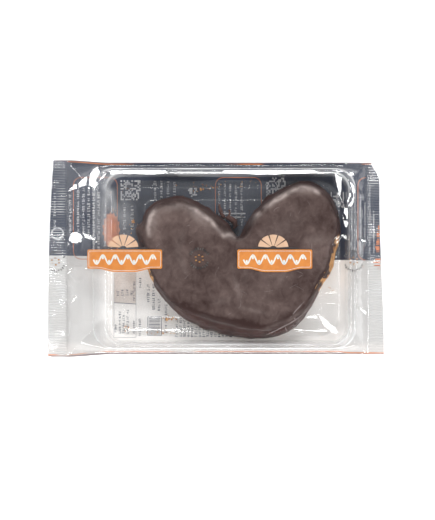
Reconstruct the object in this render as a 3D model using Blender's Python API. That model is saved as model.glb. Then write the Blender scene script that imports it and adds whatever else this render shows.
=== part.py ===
"""A palmier pastry sealed in a clear flow pack, as one closed solid.

The pack lies flat. Its film is drawn over the rim of a moulded tray and over the flat top of
the palmier, so the heart shape stands up under the film. Past the tray's ends the film comes
down in folds to two crimped end seals. Everything is in metres, with +Z up, +X along the pack
and the origin under the middle of the pack, on the surface it lies on.
"""

import math

import bmesh
import bpy
import numpy as np

# Driving sizes of the pack.
PACK_LENGTH = 0.222
PACK_WIDTH = 0.130
WAIST_WIDTH = 0.1264
SEAL_LENGTH = 0.0122
SEAL_HEIGHT = 0.0085
SEAL_THICKNESS = 0.0009
CRIMP_COUNT = 76
CRIMP_DEPTH = 0.00028

# The tray inside, which gives the film its flat base and its level rim.
TRAY_X = 0.0055
RIM_LENGTH = 0.174
RIM_WIDTH = 0.1106
RIM_CORNER = 0.018
RIM_HEIGHT = 0.0204
BASE_LENGTH = 0.152
BASE_WIDTH = 0.102
BASE_CORNER = 0.014

# Where the film turns under along the pack's long sides.
FOLD_HEIGHT = 0.0150
UNDERSIDE_BOW = 1.15
END_DRAPE = 1.12

# How far the film has come down from the rim, as shares of the way out to the long edge and of
# the drop: in a slope beside the notch of the heart, and in a later, steeper one opposite.
BACK_FALL = ((0.0, 0.45, 0.64, 0.80, 1.0), (0.0, 0.31, 0.84, 0.98, 1.0))
FRONT_FALL = ((0.0, 0.45, 0.60, 0.78, 0.90, 1.0), (0.0, 0.05, 0.18, 0.86, 1.0, 1.0))

# The palmier, seen from above: its notch first, then anticlockwise round both lobes.
PASTRY_RISE = 0.0014
PASTRY_SHOULDER = 0.0035
TENT_SLACK = 1.7
PASTRY_OUTLINE = (
    (0.014, 0.015), (0.021, 0.026), (0.031, 0.038), (0.044, 0.047), (0.057, 0.051),
    (0.069, 0.0475), (0.078, 0.0355), (0.082, 0.020), (0.0795, 0.005), (0.0755, -0.009),
    (0.067, -0.024), (0.058, -0.040), (0.046, -0.049), (0.027, -0.0525), (0.007, -0.050),
    (-0.014, -0.043), (-0.031, -0.0305), (-0.044, -0.0115), (-0.051, 0.007), (-0.054, 0.020),
    (-0.049, 0.0265), (-0.0435, 0.035), (-0.033, 0.0405), (-0.0205, 0.041), (-0.006, 0.0345),
    (0.005, 0.0265),
)
OUTLINE_STEPS = 6

# Folds in the film at the pack's ends: start x, y, end x, y, height and half width.
FOLDS = (
    (-0.0760, 0.0570, -0.0983, 0.0406, 0.0022, 0.0042),
    (-0.0800, 0.0160, -0.0970, 0.0020, 0.0016, 0.0040),
    (-0.0800, -0.0300, -0.0983, -0.0130, -0.0012, 0.0040),
    (-0.0790, -0.0540, -0.0983, -0.0500, 0.0014, 0.0036),
    (0.0930, -0.0300, 0.1003, -0.0400, 0.0014, 0.0032),
    (0.0900, -0.0480, 0.1003, -0.0580, -0.0012, 0.0030),
    (0.0900, 0.0500, 0.1003, 0.0420, 0.0014, 0.0034),
)

# The grid of the body between the seals.
BODY_COLUMN = 0.0048
END_COLUMN = 0.0024
ROW_COUNT = 34
EDGE_ROWS = (0.945, 0.975)

# How far the cut ends lean in, and the corner of the right-hand seal that curls back.
LEFT_LEAN = 0.0036
LEFT_LEAN_POWER = 2.6
RIGHT_LEAN = 0.0030
CURLED_CORNER = 0.0053
CURL_START = 0.75
RIGHT_NECK = 0.0016

HALF_LENGTH = PACK_LENGTH / 2
HALF_WIDTH = PACK_WIDTH / 2
LEFT_SEAL_X = -HALF_LENGTH + SEAL_LENGTH
RIGHT_SEAL_X = HALF_LENGTH - SEAL_LENGTH * 0.9
LEFT_RIM_X = TRAY_X - RIM_LENGTH / 2
RIGHT_RIM_X = TRAY_X + RIM_LENGTH / 2


def smooth_step(value, low, high):
    """Eases from 0 at low to 1 at high."""
    share = np.clip((value - low) / (high - low), 0.0, 1.0)
    return share * share * (3.0 - 2.0 * share)


def rounded_rectangle(x, y, centre_x, length, width, corner):
    """Signed distance to a rounded rectangle round (centre_x, 0), negative inside."""
    across = np.abs(x - centre_x) - length / 2 + corner
    along = np.abs(y) - width / 2 + corner
    outside = np.hypot(np.maximum(across, 0.0), np.maximum(along, 0.0))
    inside = np.minimum(np.maximum(across, along), 0.0)
    return outside + inside - corner


def closed_curve(points, steps):
    """A smooth closed line through the points, as a Catmull-Rom curve."""
    points = np.array(points)
    before, after, next_after = (np.roll(points, shift, 0) for shift in (1, -1, -2))
    share = (np.arange(steps) / steps)[None, :, None]
    parts = (
        2.0 * points[:, None]
        + (after - before)[:, None] * share
        + (2.0 * before - 5.0 * points + 4.0 * after - next_after)[:, None] * share**2
        + (3.0 * points - before - 3.0 * after + next_after)[:, None] * share**3
    )
    return (0.5 * parts).reshape(-1, 2)


def distance_to_outline(x, y, line):
    """Signed distance from each point to a closed line, negative inside."""
    start, end = line, np.roll(line, -1, 0)
    side = end - start
    spot = np.stack([x, y], -1)[:, None, :]
    share = ((spot - start) * side).sum(-1) / (side * side).sum(-1)
    nearest = start + side * np.clip(share, 0.0, 1.0)[..., None]
    distance = np.linalg.norm(spot - nearest, axis=-1).min(1)
    crosses = (start[:, 1] > y[:, None]) != (end[:, 1] > y[:, None])
    rise = np.where(side[:, 1] == 0.0, 1.0, side[:, 1])
    where = start[:, 0] + (y[:, None] - start[:, 1]) / rise * side[:, 0]
    inside = (crosses & (x[:, None] < where)).sum(1) % 2 == 1
    return np.where(inside, -distance, distance)


def fold_relief(x, y):
    """How far the folds at the pack's ends lift the film."""
    relief = np.zeros_like(x)
    for start_x, start_y, end_x, end_y, height, half_width in FOLDS:
        run = np.array([end_x - start_x, end_y - start_y])
        share = ((x - start_x) * run[0] + (y - start_y) * run[1]) / (run @ run)
        near = np.clip(share, 0.0, 1.0)
        gap = np.hypot(x - start_x - run[0] * near, y - start_y - run[1] * near)
        fade = np.sin(math.pi * np.clip(share, 0.0, 1.0)) ** 0.5
        relief += height * fade * np.exp(-((gap / half_width) ** 2))
    return relief


def half_width_at(x):
    """Half the width of the pack, narrow at the tray and wide at the seals."""
    left = smooth_step(-x, -LEFT_RIM_X - 0.012, -LEFT_SEAL_X)
    right = smooth_step(x, RIGHT_RIM_X - 0.004, RIGHT_SEAL_X)
    flare = (PACK_WIDTH - WAIST_WIDTH) / 2
    return WAIST_WIDTH / 2 + flare * left + (flare - RIGHT_NECK) * right


def fold_height_at(x):
    """Height of the line where the film turns under, which comes down to the seals."""
    left = smooth_step(-x, -LEFT_RIM_X - 0.010, -LEFT_SEAL_X)
    right = smooth_step(x, RIGHT_RIM_X - 0.010, RIGHT_SEAL_X)
    return FOLD_HEIGHT + (SEAL_HEIGHT - FOLD_HEIGHT) * np.maximum(left, right)


def distance_to_edge(x, y):
    """Distance from a point of the body to the nearest long edge or seal."""
    sides = half_width_at(x) - np.abs(y)
    ends = np.minimum(x - LEFT_SEAL_X, RIGHT_SEAL_X - x)
    return np.maximum(np.minimum(sides, ends), 0.0)


def film_top(x, y, pastry_line):
    """Height of the film's upper face."""
    rim = rounded_rectangle(x, y, TRAY_X, RIM_LENGTH, RIM_WIDTH, RIM_CORNER)
    pastry = distance_to_outline(x, y, pastry_line) + PASTRY_SHOULDER
    edge = distance_to_edge(x, y)
    fall = np.maximum(rim, 0.0) / (np.maximum(rim, 0.0) + edge + 1e-9)
    at_side = half_width_at(x) - np.abs(y) < np.minimum(x - LEFT_SEAL_X, RIGHT_SEAL_X - x)
    side_fall = np.where(y > 0, np.interp(fall, *BACK_FALL), np.interp(fall, *FRONT_FALL))
    fall = np.where(at_side, side_fall, fall**END_DRAPE)
    edge_height = fold_height_at(x) + SEAL_THICKNESS / 2
    level = RIM_HEIGHT + (edge_height - RIM_HEIGHT) * fall
    held_off = np.maximum(pastry, 0.0)
    tent = np.maximum(-rim, 0.0) / (np.maximum(-rim, 0.0) + held_off + 1e-9)
    return level + PASTRY_RISE * tent**TENT_SLACK + fold_relief(x, y)


def film_bottom(x, y):
    """Height of the film's lower face: flat under the tray, rising to the fold and the seals."""
    base = rounded_rectangle(x, y, TRAY_X, BASE_LENGTH, BASE_WIDTH, BASE_CORNER)
    away = np.maximum(base, 0.0)
    rise = (away / (away + distance_to_edge(x, y) + 1e-9)) ** UNDERSIDE_BOW
    return (fold_height_at(x) - SEAL_THICKNESS / 2) * rise


def spaced(start, end, step):
    """Evenly spaced values from start up to, and without, end."""
    count = max(1, round((end - start) / step))
    return np.linspace(start, end, count, endpoint=False)


def body_columns():
    """The x of each column of the grid between the seals, finer over the sloping ends."""
    return np.concatenate([
        spaced(LEFT_SEAL_X, LEFT_RIM_X, END_COLUMN),
        spaced(LEFT_RIM_X, RIGHT_RIM_X, BODY_COLUMN),
        spaced(RIGHT_RIM_X, RIGHT_SEAL_X, END_COLUMN),
        [RIGHT_SEAL_X],
    ])[1:-1]


def body_rows():
    """Where the rows of the grid lie across the pack, from -1 to 1, with more at the sides."""
    inner = np.linspace(-EDGE_ROWS[0], EDGE_ROWS[0], ROW_COUNT - 3)
    outer = np.array([*EDGE_ROWS[1:], 1.0])
    return np.concatenate([-outer[::-1], inner, outer])


def cut_end(side, across):
    """The x of a seal's cut end, leaning in towards one corner, which curls back on the right."""
    if side < 0:
        return -HALF_LENGTH + LEFT_LEAN * ((across + 1.0) / 2.0) ** LEFT_LEAN_POWER
    curl = smooth_step(across, CURL_START, 1.0) ** 2
    lean = smooth_step(across, -1.0, 0.6)
    return HALF_LENGTH - CURLED_CORNER * curl - RIGHT_LEAN * lean


def add_points(mesh, x, y, z):
    """One vertex for each x, y and z."""
    return [mesh.verts.new(spot) for spot in zip(x, y, z)]


def add_strip(mesh, first, second, upward):
    """Quads between two equally long lines of vertices."""
    for a, b, c, d in zip(first, second, second[1:], first[1:]):
        mesh.faces.new((a, b, c, d) if upward else (d, c, b, a))


def stitch(mesh, first, second, first_at, second_at, upward):
    """Triangles between two lines of vertices that are spaced differently."""
    i = j = 0
    while i < len(first) - 1 or j < len(second) - 1:
        step_first = j == len(second) - 1 or (
            i < len(first) - 1 and first_at[i + 1] <= second_at[j + 1]
        )
        corners = (
            (first[i], second[j], first[i + 1])
            if step_first
            else (first[i], second[j], second[j + 1])
        )
        mesh.faces.new(corners if upward else corners[::-1])
        if step_first:
            i += 1
        else:
            j += 1


def add_body(mesh, pastry_line):
    """The grid between the seals: its rows, and the upper and lower line of each column."""
    rows = body_rows()
    upper, lower = [], []
    for x in body_columns():
        xs = np.full(len(rows), x)
        ys = half_width_at(xs) * rows
        upper.append(add_points(mesh, xs, ys, film_top(xs, ys, pastry_line)))
        lower.append(add_points(mesh, xs, ys, film_bottom(xs, ys)))
    for left, right in zip(upper, upper[1:]):
        add_strip(mesh, left, right, upward=True)
    for left, right in zip(lower, lower[1:]):
        add_strip(mesh, left, right, upward=False)
    for edge, upward in ((0, False), (-1, True)):
        top_line = [column[edge] for column in upper]
        bottom_line = [column[edge] for column in lower]
        add_strip(mesh, top_line, bottom_line, not upward)
    return rows, upper, lower


def add_seal(mesh, side, rows, body_upper, body_lower):
    """A crimped end seal on one end of the body, from the body's last lines outwards."""
    across = np.linspace(-1.0, 1.0, 2 * CRIMP_COUNT + 1)
    crimp = CRIMP_DEPTH * np.where(np.arange(len(across)) % 2 == 0, -1.0, 1.0)
    seal_x = LEFT_SEAL_X if side < 0 else RIGHT_SEAL_X
    starts = np.full(len(across), seal_x)
    ends = cut_end(side, across)
    ys = half_width_at(starts) * across
    high = SEAL_HEIGHT + SEAL_THICKNESS / 2 + crimp
    low = SEAL_HEIGHT - SEAL_THICKNESS / 2 + crimp
    inner_upper = add_points(mesh, starts, ys, high)
    outer_upper = add_points(mesh, ends, ys, high)
    inner_lower = add_points(mesh, starts, ys, low)
    outer_lower = add_points(mesh, ends, ys, low)
    outward = side > 0
    stitch(mesh, body_upper, inner_upper, rows, across, outward)
    stitch(mesh, body_lower, inner_lower, rows, across, not outward)
    add_strip(mesh, inner_upper, outer_upper, outward)
    add_strip(mesh, inner_lower, outer_lower, not outward)
    add_strip(mesh, outer_upper, outer_lower, outward)
    for edge, flip in ((0, True), (-1, False)):
        near = (body_upper[edge], inner_upper[edge], inner_lower[edge], body_lower[edge])
        far = (inner_upper[edge], outer_upper[edge], outer_lower[edge], inner_lower[edge])
        for corners in (near, far):
            mesh.faces.new(corners[::-1] if flip == outward else corners)


def sealed_pack():
    """The whole pack as one object."""
    mesh = bmesh.new()
    pastry_line = closed_curve(PASTRY_OUTLINE, OUTLINE_STEPS)
    rows, upper, lower = add_body(mesh, pastry_line)
    add_seal(mesh, -1, rows, upper[0], lower[0])
    add_seal(mesh, 1, rows, upper[-1], lower[-1])
    bmesh.ops.recalc_face_normals(mesh, faces=mesh.faces)
    flat = [edge for edge in mesh.edges if all(abs(v.co.z) < 1e-7 for v in edge.verts)]
    bmesh.ops.dissolve_limit(
        mesh,
        angle_limit=math.radians(0.5),
        verts=list({v for edge in flat for v in edge.verts}),
        edges=flat,
    )
    data = bpy.data.meshes.new("sealed_pack")
    mesh.to_mesh(data)
    mesh.free()
    data.shade_smooth()
    data.set_sharp_from_angle(angle=math.radians(32.0))
    thing = bpy.data.objects.new("sealed_pack", data)
    bpy.context.scene.collection.objects.link(thing)
    return thing


def pack_film():
    """Clear film over dark chocolate, as one plain colour."""
    material = bpy.data.materials.new("pack_film")
    material.use_nodes = True
    shader = material.node_tree.nodes["Principled BSDF"]
    shader.inputs["Base Color"].default_value = (0.30, 0.27, 0.27, 1.0)
    shader.inputs["Roughness"].default_value = 0.18
    shader.inputs["Metallic"].default_value = 0.0
    return material


def main():
    """Clears the scene and models the pack."""
    for thing in list(bpy.data.objects):
        bpy.data.objects.remove(thing)
    sealed_pack().data.materials.append(pack_film())


main()
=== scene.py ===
"""The looks of a sealed palmier pack: clear film, printed back, moulded tray, pastry and chocolate.

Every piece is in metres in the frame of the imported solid, with +X along the pack, +Y across it
towards the notch of the heart, and +Z up. Places that a docstring or comment gives in millimetres
are turned into metres by MM.
"""

import logging
import math
from collections.abc import Callable, Iterable, Sequence
from dataclasses import dataclass, field
from enum import Enum

import bpy
import numpy as np
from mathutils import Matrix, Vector, geometry


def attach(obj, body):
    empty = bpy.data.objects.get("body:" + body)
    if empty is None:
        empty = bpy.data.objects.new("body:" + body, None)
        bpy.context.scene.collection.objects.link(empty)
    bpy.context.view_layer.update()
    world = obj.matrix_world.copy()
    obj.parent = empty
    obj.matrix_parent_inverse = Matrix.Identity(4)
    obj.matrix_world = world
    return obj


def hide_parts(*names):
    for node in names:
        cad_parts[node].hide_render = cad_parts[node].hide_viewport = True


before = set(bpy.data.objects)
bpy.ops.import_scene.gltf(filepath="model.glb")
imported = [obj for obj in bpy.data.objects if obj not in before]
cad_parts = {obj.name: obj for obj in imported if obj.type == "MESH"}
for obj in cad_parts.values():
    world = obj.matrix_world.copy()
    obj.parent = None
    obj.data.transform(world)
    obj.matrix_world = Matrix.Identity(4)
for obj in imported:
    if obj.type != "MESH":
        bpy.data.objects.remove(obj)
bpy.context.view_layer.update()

LOG = logging.getLogger("palmier_pack")
MM = 0.001
BODY = "root"
SOLID = "sealed_pack"

Array = np.ndarray
Pair = tuple[float, float]
Triple = tuple[float, float, float]
Colour = Triple
Surface = Callable[[Array, Array], Array]


class Slot(Enum):
    """The record's material slots."""

    FILM = "clear_film"
    PRINTED = "printed_film"
    TRAY = "tray_plastic"
    CHOCOLATE = "chocolate"
    CRUST = "pastry_crust"
    INK = "print_ink"


# Numbers and curves


def smooth_step(value: Array, low: float, high: float) -> Array:
    """Eases from 0 at low to 1 at high."""
    share = np.clip((value - low) / (high - low), 0.0, 1.0)
    return share * share * (3.0 - 2.0 * share)


def soft_noise(x: Array, y: Array, cell: float, seed: int) -> Array:
    """Smooth random values over a plane.

    Args:
        x: First coordinate of each point.
        y: Second coordinate of each point.
        cell: Size of one bump, in the units of x and y.
        seed: Picks the pattern.

    Returns:
        A value from -1 to 1 for each point.
    """
    lattice = np.random.default_rng(seed).uniform(-1.0, 1.0, (64, 64))
    u, v = x / cell + 17.3, y / cell + 5.1
    i, j = np.floor(u).astype(int), np.floor(v).astype(int)
    u, v = u - i, v - j
    u, v = (t * t * t * (t * (6.0 * t - 15.0) + 10.0) for t in (u, v))
    near = lattice[i % 64, j % 64] * (1 - u) + lattice[(i + 1) % 64, j % 64] * u
    far = lattice[i % 64, (j + 1) % 64] * (1 - u) + lattice[(i + 1) % 64, (j + 1) % 64] * u
    return near * (1 - v) + far * v


def layered_noise(x: Array, y: Array, cell: float, seed: int, layers: int = 3) -> Array:
    """Soft noise summed over ever smaller cells, from about -1 to 1."""
    return sum(soft_noise(x, y, cell / 2**k, seed + k) / 2**k for k in range(layers)) / 1.5


def crumple(x: Array, y: Array, cell: float, seed: int) -> Array:
    """Crisp little ridges between hollows, as in crumpled film, from 0 to 1."""
    return (1.0 - np.abs(soft_noise(x, y, cell, seed))) ** 4


def closed_curve(points: Sequence[Sequence[float]], steps: int) -> Array:
    """A smooth closed line through points.

    Args:
        points: Rows of coordinates, of any width.
        steps: Points made for each one given.

    Returns:
        The rows of the line, which isn't closed by repeating its first.
    """
    here = np.array(points, float)
    back, ahead, later = (np.roll(here, shift, 0) for shift in (1, -1, -2))
    t = (np.arange(steps) / steps)[None, :, None]
    line = (
        2.0 * here[:, None]
        + (ahead - back)[:, None] * t
        + (2.0 * back - 5.0 * here + 4.0 * ahead - later)[:, None] * t**2
        + (3.0 * here - back - 3.0 * ahead + later)[:, None] * t**3
    )
    return (0.5 * line).reshape(-1, here.shape[1])


def even_steps(line: Array, count: int, closed: bool = True) -> Array:
    """The line again with count points evenly spaced along it, measured on x and y."""
    whole = np.vstack([line, line[:1]]) if closed else line
    gone = np.concatenate([[0.0], np.cumsum(np.hypot(*np.diff(whole[:, :2], axis=0).T))])
    at = np.linspace(0.0, gone[-1], count, endpoint=not closed)
    return np.stack([np.interp(at, gone, column) for column in whole.T], 1)


def gap_to_line(x: Array, y: Array, line: Array, closed: bool = True) -> tuple[Array, Array]:
    """How far points lie from a line.

    Args:
        x: x of each point.
        y: y of each point.
        line: The line's own points.
        closed: Whether the line's end joins its start.

    Returns:
        The distances, negative inside a closed line, and the share of the line's length at the
        nearest spot, from 0 to 1.
    """
    start = line if closed else line[:-1]
    side = (np.roll(line, -1, 0) if closed else line[1:]) - start
    lengths = np.hypot(*side.T) + 1e-12
    gone = np.concatenate([[0.0], np.cumsum(lengths)])
    gaps, shares = [], []
    for px, py in zip(np.array_split(x, len(x) // 6000 + 1), np.array_split(y, len(x) // 6000 + 1)):
        dx, dy = px[:, None] - start[:, 0], py[:, None] - start[:, 1]
        t = np.clip((dx * side[:, 0] + dy * side[:, 1]) / lengths**2, 0.0, 1.0)
        gap = np.hypot(dx - t * side[:, 0], dy - t * side[:, 1])
        best = gap.argmin(1)
        row = np.arange(len(px))
        if closed:
            crosses = (dy < 0.0) != (dy < side[:, 1])
            rise = np.where(side[:, 1] == 0.0, 1.0, side[:, 1])
            inside = (crosses & (dx < dy / rise * side[:, 0])).sum(1) % 2 == 1
            gaps.append(np.where(inside, -gap[row, best], gap[row, best]))
        else:
            gaps.append(gap[row, best])
        shares.append((gone[best] + t[row, best] * lengths[best]) / gone[-1])
    return np.concatenate(gaps), np.concatenate(shares)


def rounded_gap(x: Array, y: Array, centre_x: float, size: Pair, corner: float) -> Array:
    """Signed distance to a rounded rectangle round (centre_x, 0), negative inside."""
    across = np.abs(x - centre_x) - size[0] / 2 + corner
    along = np.abs(y) - size[1] / 2 + corner
    outside = np.hypot(np.maximum(across, 0.0), np.maximum(along, 0.0))
    return outside + np.minimum(np.maximum(across, along), 0.0) - corner


def sideways(line: Array, closed: bool = False) -> Array:
    """The unit vector to the left of a line, at each of its points."""
    ahead = np.roll(line, -1, 0) - np.roll(line, 1, 0) if closed else np.gradient(line, axis=0)
    return np.stack([-ahead[:, 1], ahead[:, 0]], 1) / np.hypot(*ahead.T)[:, None]


def rounded_outline(centre: Pair, size: Pair, corner: float, arc: int = 6) -> Array:
    """The points of a rounded rectangle.

    Args:
        centre: Its middle.
        size: Its whole width and height.
        corner: Radius of its corners.
        arc: Steps round each corner.

    Returns:
        Points anticlockwise from the lower right.
    """
    half_x, half_y = size[0] / 2 - corner, size[1] / 2 - corner
    points = []
    for quarter, (side_x, side_y) in enumerate(((1, -1), (1, 1), (-1, 1), (-1, -1))):
        for step in range(arc + 1):
            angle = math.radians(-90 + 90 * quarter + 90 * step / arc)
            points.append((
                centre[0] + side_x * half_x + corner * math.cos(angle),
                centre[1] + side_y * half_y + corner * math.sin(angle),
            ))
    return np.array(points)


# Meshes


@dataclass
class Skin:
    """Points and faces gathered for one piece."""

    points: list[Array] = field(default_factory=list)
    faces: list[tuple[int, ...]] = field(default_factory=list)
    count: int = 0

    def add(self, points: Array, faces: Iterable[Sequence[int]]) -> int:
        """Adds points with faces that count from 0, and gives the number of the first point."""
        first = self.count
        self.points.append(np.asarray(points, float).reshape(-1, 3))
        self.count += len(self.points[-1])
        self.faces += [tuple(first + int(i) for i in face) for face in faces]
        return first

    def grid(self, points: Array, flip: bool = False, ring: bool = False) -> int:
        """Adds a grid of points joined by quads.

        Args:
            points: Array of rows by columns by 3.
            flip: Turns the faces over.
            ring: Joins the last column to the first.

        Returns:
            The number of the first point.
        """
        rows, columns = points.shape[:2]
        joins = columns if ring else columns - 1
        i, j = (v.ravel() for v in np.meshgrid(np.arange(rows - 1), np.arange(joins), indexing="ij"))
        k = (j + 1) % columns
        corners = (i * columns + j, i * columns + k, (i + 1) * columns + k, (i + 1) * columns + j)
        quads = np.stack(corners, 1)
        return self.add(points, (quads[:, ::-1] if flip else quads).tolist())

    def make(self, name: str, smooth: bool = True) -> bpy.types.Object:
        """Makes the object and links it to the scene."""
        data = bpy.data.meshes.new(name)
        data.from_pydata(np.concatenate(self.points).tolist(), [], self.faces)
        data.update()
        if smooth:
            data.shade_smooth()
        thing = bpy.data.objects.new(name, data)
        bpy.context.scene.collection.objects.link(thing)
        return thing


def fill_outline(outline: Array, spacing: float) -> tuple[Array, Array]:
    """Fills a closed outline with even triangles.

    Args:
        outline: The points of the outline.
        spacing: Distance between the points inside.

    Returns:
        The points, those of the outline first, and the triangles.
    """
    low, high = outline.min(0), outline.max(0)
    rows = np.arange(low[1], high[1], spacing * 0.866)
    columns = np.arange(low[0], high[0], spacing)
    x, y = np.meshgrid(columns, rows)
    x = x + (np.arange(len(rows)) % 2)[:, None] * spacing / 2
    x, y = x.ravel(), y.ravel()
    keep = gap_to_line(x, y, outline)[0] < -0.6 * spacing
    points = np.vstack([outline, np.stack([x[keep], y[keep]], 1)])
    loop = list(range(len(outline)))
    found = geometry.delaunay_2d_cdt([Vector(p) for p in points], [], [loop], 1, 1e-9)
    origin = np.array([ids[0] if ids else -1 for ids in found[3]])
    if (origin < 0).any() or len(origin) != len(points):
        raise ValueError("the outline crosses itself")
    return points, origin[np.array(found[2])]


def put_values(thing: bpy.types.Object, name: str, values: Array) -> None:
    """Keeps one number for each point of a piece, for its material to read."""
    layer = thing.data.attributes.new(name, "FLOAT", "POINT")
    layer.data.foreach_set("value", np.asarray(values, np.float32))


def place(thing: bpy.types.Object, material: bpy.types.Material) -> bpy.types.Object:
    """Dresses a piece, rides it on the pack and lets it stand for the solid."""
    thing.data.materials.clear()
    thing.data.materials.append(material)
    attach(thing, BODY)
    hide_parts(SOLID)
    LOG.info("%s: %d faces", thing.name, len(thing.data.polygons))
    return thing


# Shader expressions


@dataclass(frozen=True)
class Wire:
    """A shader socket that takes part in Python expressions."""

    board: "Board"
    socket: bpy.types.NodeSocket

    def _with(self, operation: str, first: "Value", second: "Value") -> "Wire":
        """Adds the Math node, or Vector Math node, for one operation."""
        vector = any(isinstance(v, Wire) and v.socket.type == "VECTOR" for v in (first, second))
        kind = "ShaderNodeVectorMath" if vector else "ShaderNodeMath"
        return self.board.node(kind, {"operation": operation}, {0: first, 1: second})

    def __add__(self, other: "Value") -> "Wire":
        """This plus other."""
        return self._with("ADD", self, other)

    def __radd__(self, other: "Value") -> "Wire":
        """Other plus this."""
        return self._with("ADD", other, self)

    def __sub__(self, other: "Value") -> "Wire":
        """This minus other."""
        return self._with("SUBTRACT", self, other)

    def __rsub__(self, other: "Value") -> "Wire":
        """Other minus this."""
        return self._with("SUBTRACT", other, self)

    def __mul__(self, other: "Value") -> "Wire":
        """This times other."""
        return self._with("MULTIPLY", self, other)

    def __rmul__(self, other: "Value") -> "Wire":
        """Other times this."""
        return self._with("MULTIPLY", other, self)

    def __pow__(self, other: "Value") -> "Wire":
        """This to the power of other."""
        return self._with("POWER", self, other)

    def over(self, low: float, high: float) -> "Wire":
        """Eases from 0 where this is low to 1 where it is high."""
        settings = {"interpolation_type": "SMOOTHSTEP"}
        return self.board.node("ShaderNodeMapRange", settings, {0: self, 1: low, 2: high})


Value = Wire | float | Sequence[float]


class Board:
    """The node tree of one material, and the one way to add a node to it."""

    def __init__(self, name: str) -> None:
        """Starts an empty tree."""
        self.material = bpy.data.materials.new(name)
        self.material.use_nodes = True
        self.tree = self.material.node_tree
        self.tree.nodes.clear()

    def node(
        self, kind: str, settings: dict | None = None, values: dict | None = None, out: str | int = 0
    ) -> Wire:
        """Adds a node.

        Args:
            kind: The node's type.
            settings: Its properties, set first.
            values: Numbers, colours or wires for its sockets, by name or number.
            out: The output that is wanted, by name or number.

        Returns:
            The output as a wire.
        """
        made = self.tree.nodes.new(kind)
        for name, setting in (settings or {}).items():
            setattr(made, name, setting)
        for name, value in (values or {}).items():
            socket = made.inputs[name]
            if isinstance(value, Wire):
                self.tree.links.new(value.socket, socket)
            elif socket.type == "RGBA":
                socket.default_value = (*value[:3], 1.0)
            else:
                socket.default_value = value
        return Wire(self, made.outputs[out])

    def spot(self) -> Wire:
        """Where a point of the surface is, in metres."""
        return self.node("ShaderNodeTexCoord", out="Object")

    def axis(self, name: str) -> Wire:
        """One coordinate of the surface, X, Y or Z, in metres."""
        return self.node("ShaderNodeSeparateXYZ", {}, {0: self.spot()}, name)

    def noise(
        self, size: float, detail: float = 3.0, stretch: Sequence[float] = (1, 1, 1), warp: float = 0.0
    ) -> Wire:
        """Noise from 0 to 1 with bumps of a size in metres, stretched along the axes."""
        scale = [1.0 / (size * s) for s in stretch]
        spot = self.node("ShaderNodeMapping", {"vector_type": "POINT"}, {0: self.spot(), 3: scale})
        values = {"Vector": spot, "Scale": 1.0, "Detail": detail, "Distortion": warp}
        return self.node("ShaderNodeTexNoise", {}, values)

    def value(self, name: str) -> Wire:
        """A number that was kept for each point of the mesh."""
        return self.node("ShaderNodeAttribute", {"attribute_name": name}, out="Fac")

    def mix(self, share: Value, first: Value, second: Value) -> Wire:
        """The first colour, turning to the second as share goes to 1."""
        settings = {"data_type": "RGBA"}
        return self.node("ShaderNodeMix", settings, {0: share, 6: first, 7: second}, 2)

    def bump(self, height: Wire, depth: float) -> Wire:
        """A normal from a height of 0 to 1 that stands for a depth in metres."""
        return self.node("ShaderNodeBump", {}, {"Height": height, "Distance": depth})

    def surface(self, **values: Value) -> Wire:
        """A Principled surface from its sockets' names, with _ for a space."""
        sockets = {name.replace("_", " "): value for name, value in values.items()}
        return self.node("ShaderNodeBsdfPrincipled", {}, sockets)

    def blend(self, share: Value, first: Wire, second: Wire) -> Wire:
        """The first shader, turning to the second as share goes to 1."""
        return self.node("ShaderNodeMixShader", {}, {0: share, 1: first, 2: second})

    def finish(self, shader: Wire) -> bpy.types.Material:
        """Joins a shader to the output and gives the material."""
        output = self.tree.nodes.new("ShaderNodeOutputMaterial")
        self.tree.links.new(shader.socket, output.inputs["Surface"])
        return self.material


# Finishes


@dataclass(frozen=True)
class ClearPlastic:
    """Clear glossy plastic: a mirror where light grazes it, clear elsewhere, frosted where pressed, and
    whitened where painted highlights and painted sheen are laid on.
    """

    name: str
    # How many single faces of plastic one sheet mirrors like.
    faces: float = 1.8
    haze: float = 0.008
    roughness: float = 0.06
    ripple: float = 0.000012
    ripple_size: float = 0.006

    def make(self) -> bpy.types.Material:
        """Builds the material."""
        board = Board(self.name)
        bump = board.bump(board.noise(self.ripple_size, 2.0), self.ripple)
        slant = board.node("ShaderNodeLayerWeight", {}, {"Blend": 0.5, "Normal": bump}, "Facing")
        mirror = (0.04 + 0.96 * slant**5.0) * self.faces
        share = board.node("ShaderNodeMath", {"operation": "MINIMUM"}, {0: mirror, 1: 1.0})
        gloss = board.surface(Base_Color=(1, 1, 1), Metallic=1.0, Roughness=self.roughness, Normal=bump)
        veil = board.surface(Base_Color=(0.86, 0.87, 0.88), Roughness=0.6, Normal=bump)
        clear = board.node("ShaderNodeBsdfTransparent", {}, {"Color": (1, 1, 1)})
        # The frost value is partly real frosting and partly painted highlight and painted sheen.
        frosted = board.value("frost_and_sheen") + self.haze
        return board.finish(board.blend(share, board.blend(frosted, clear, veil), gloss))


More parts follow.
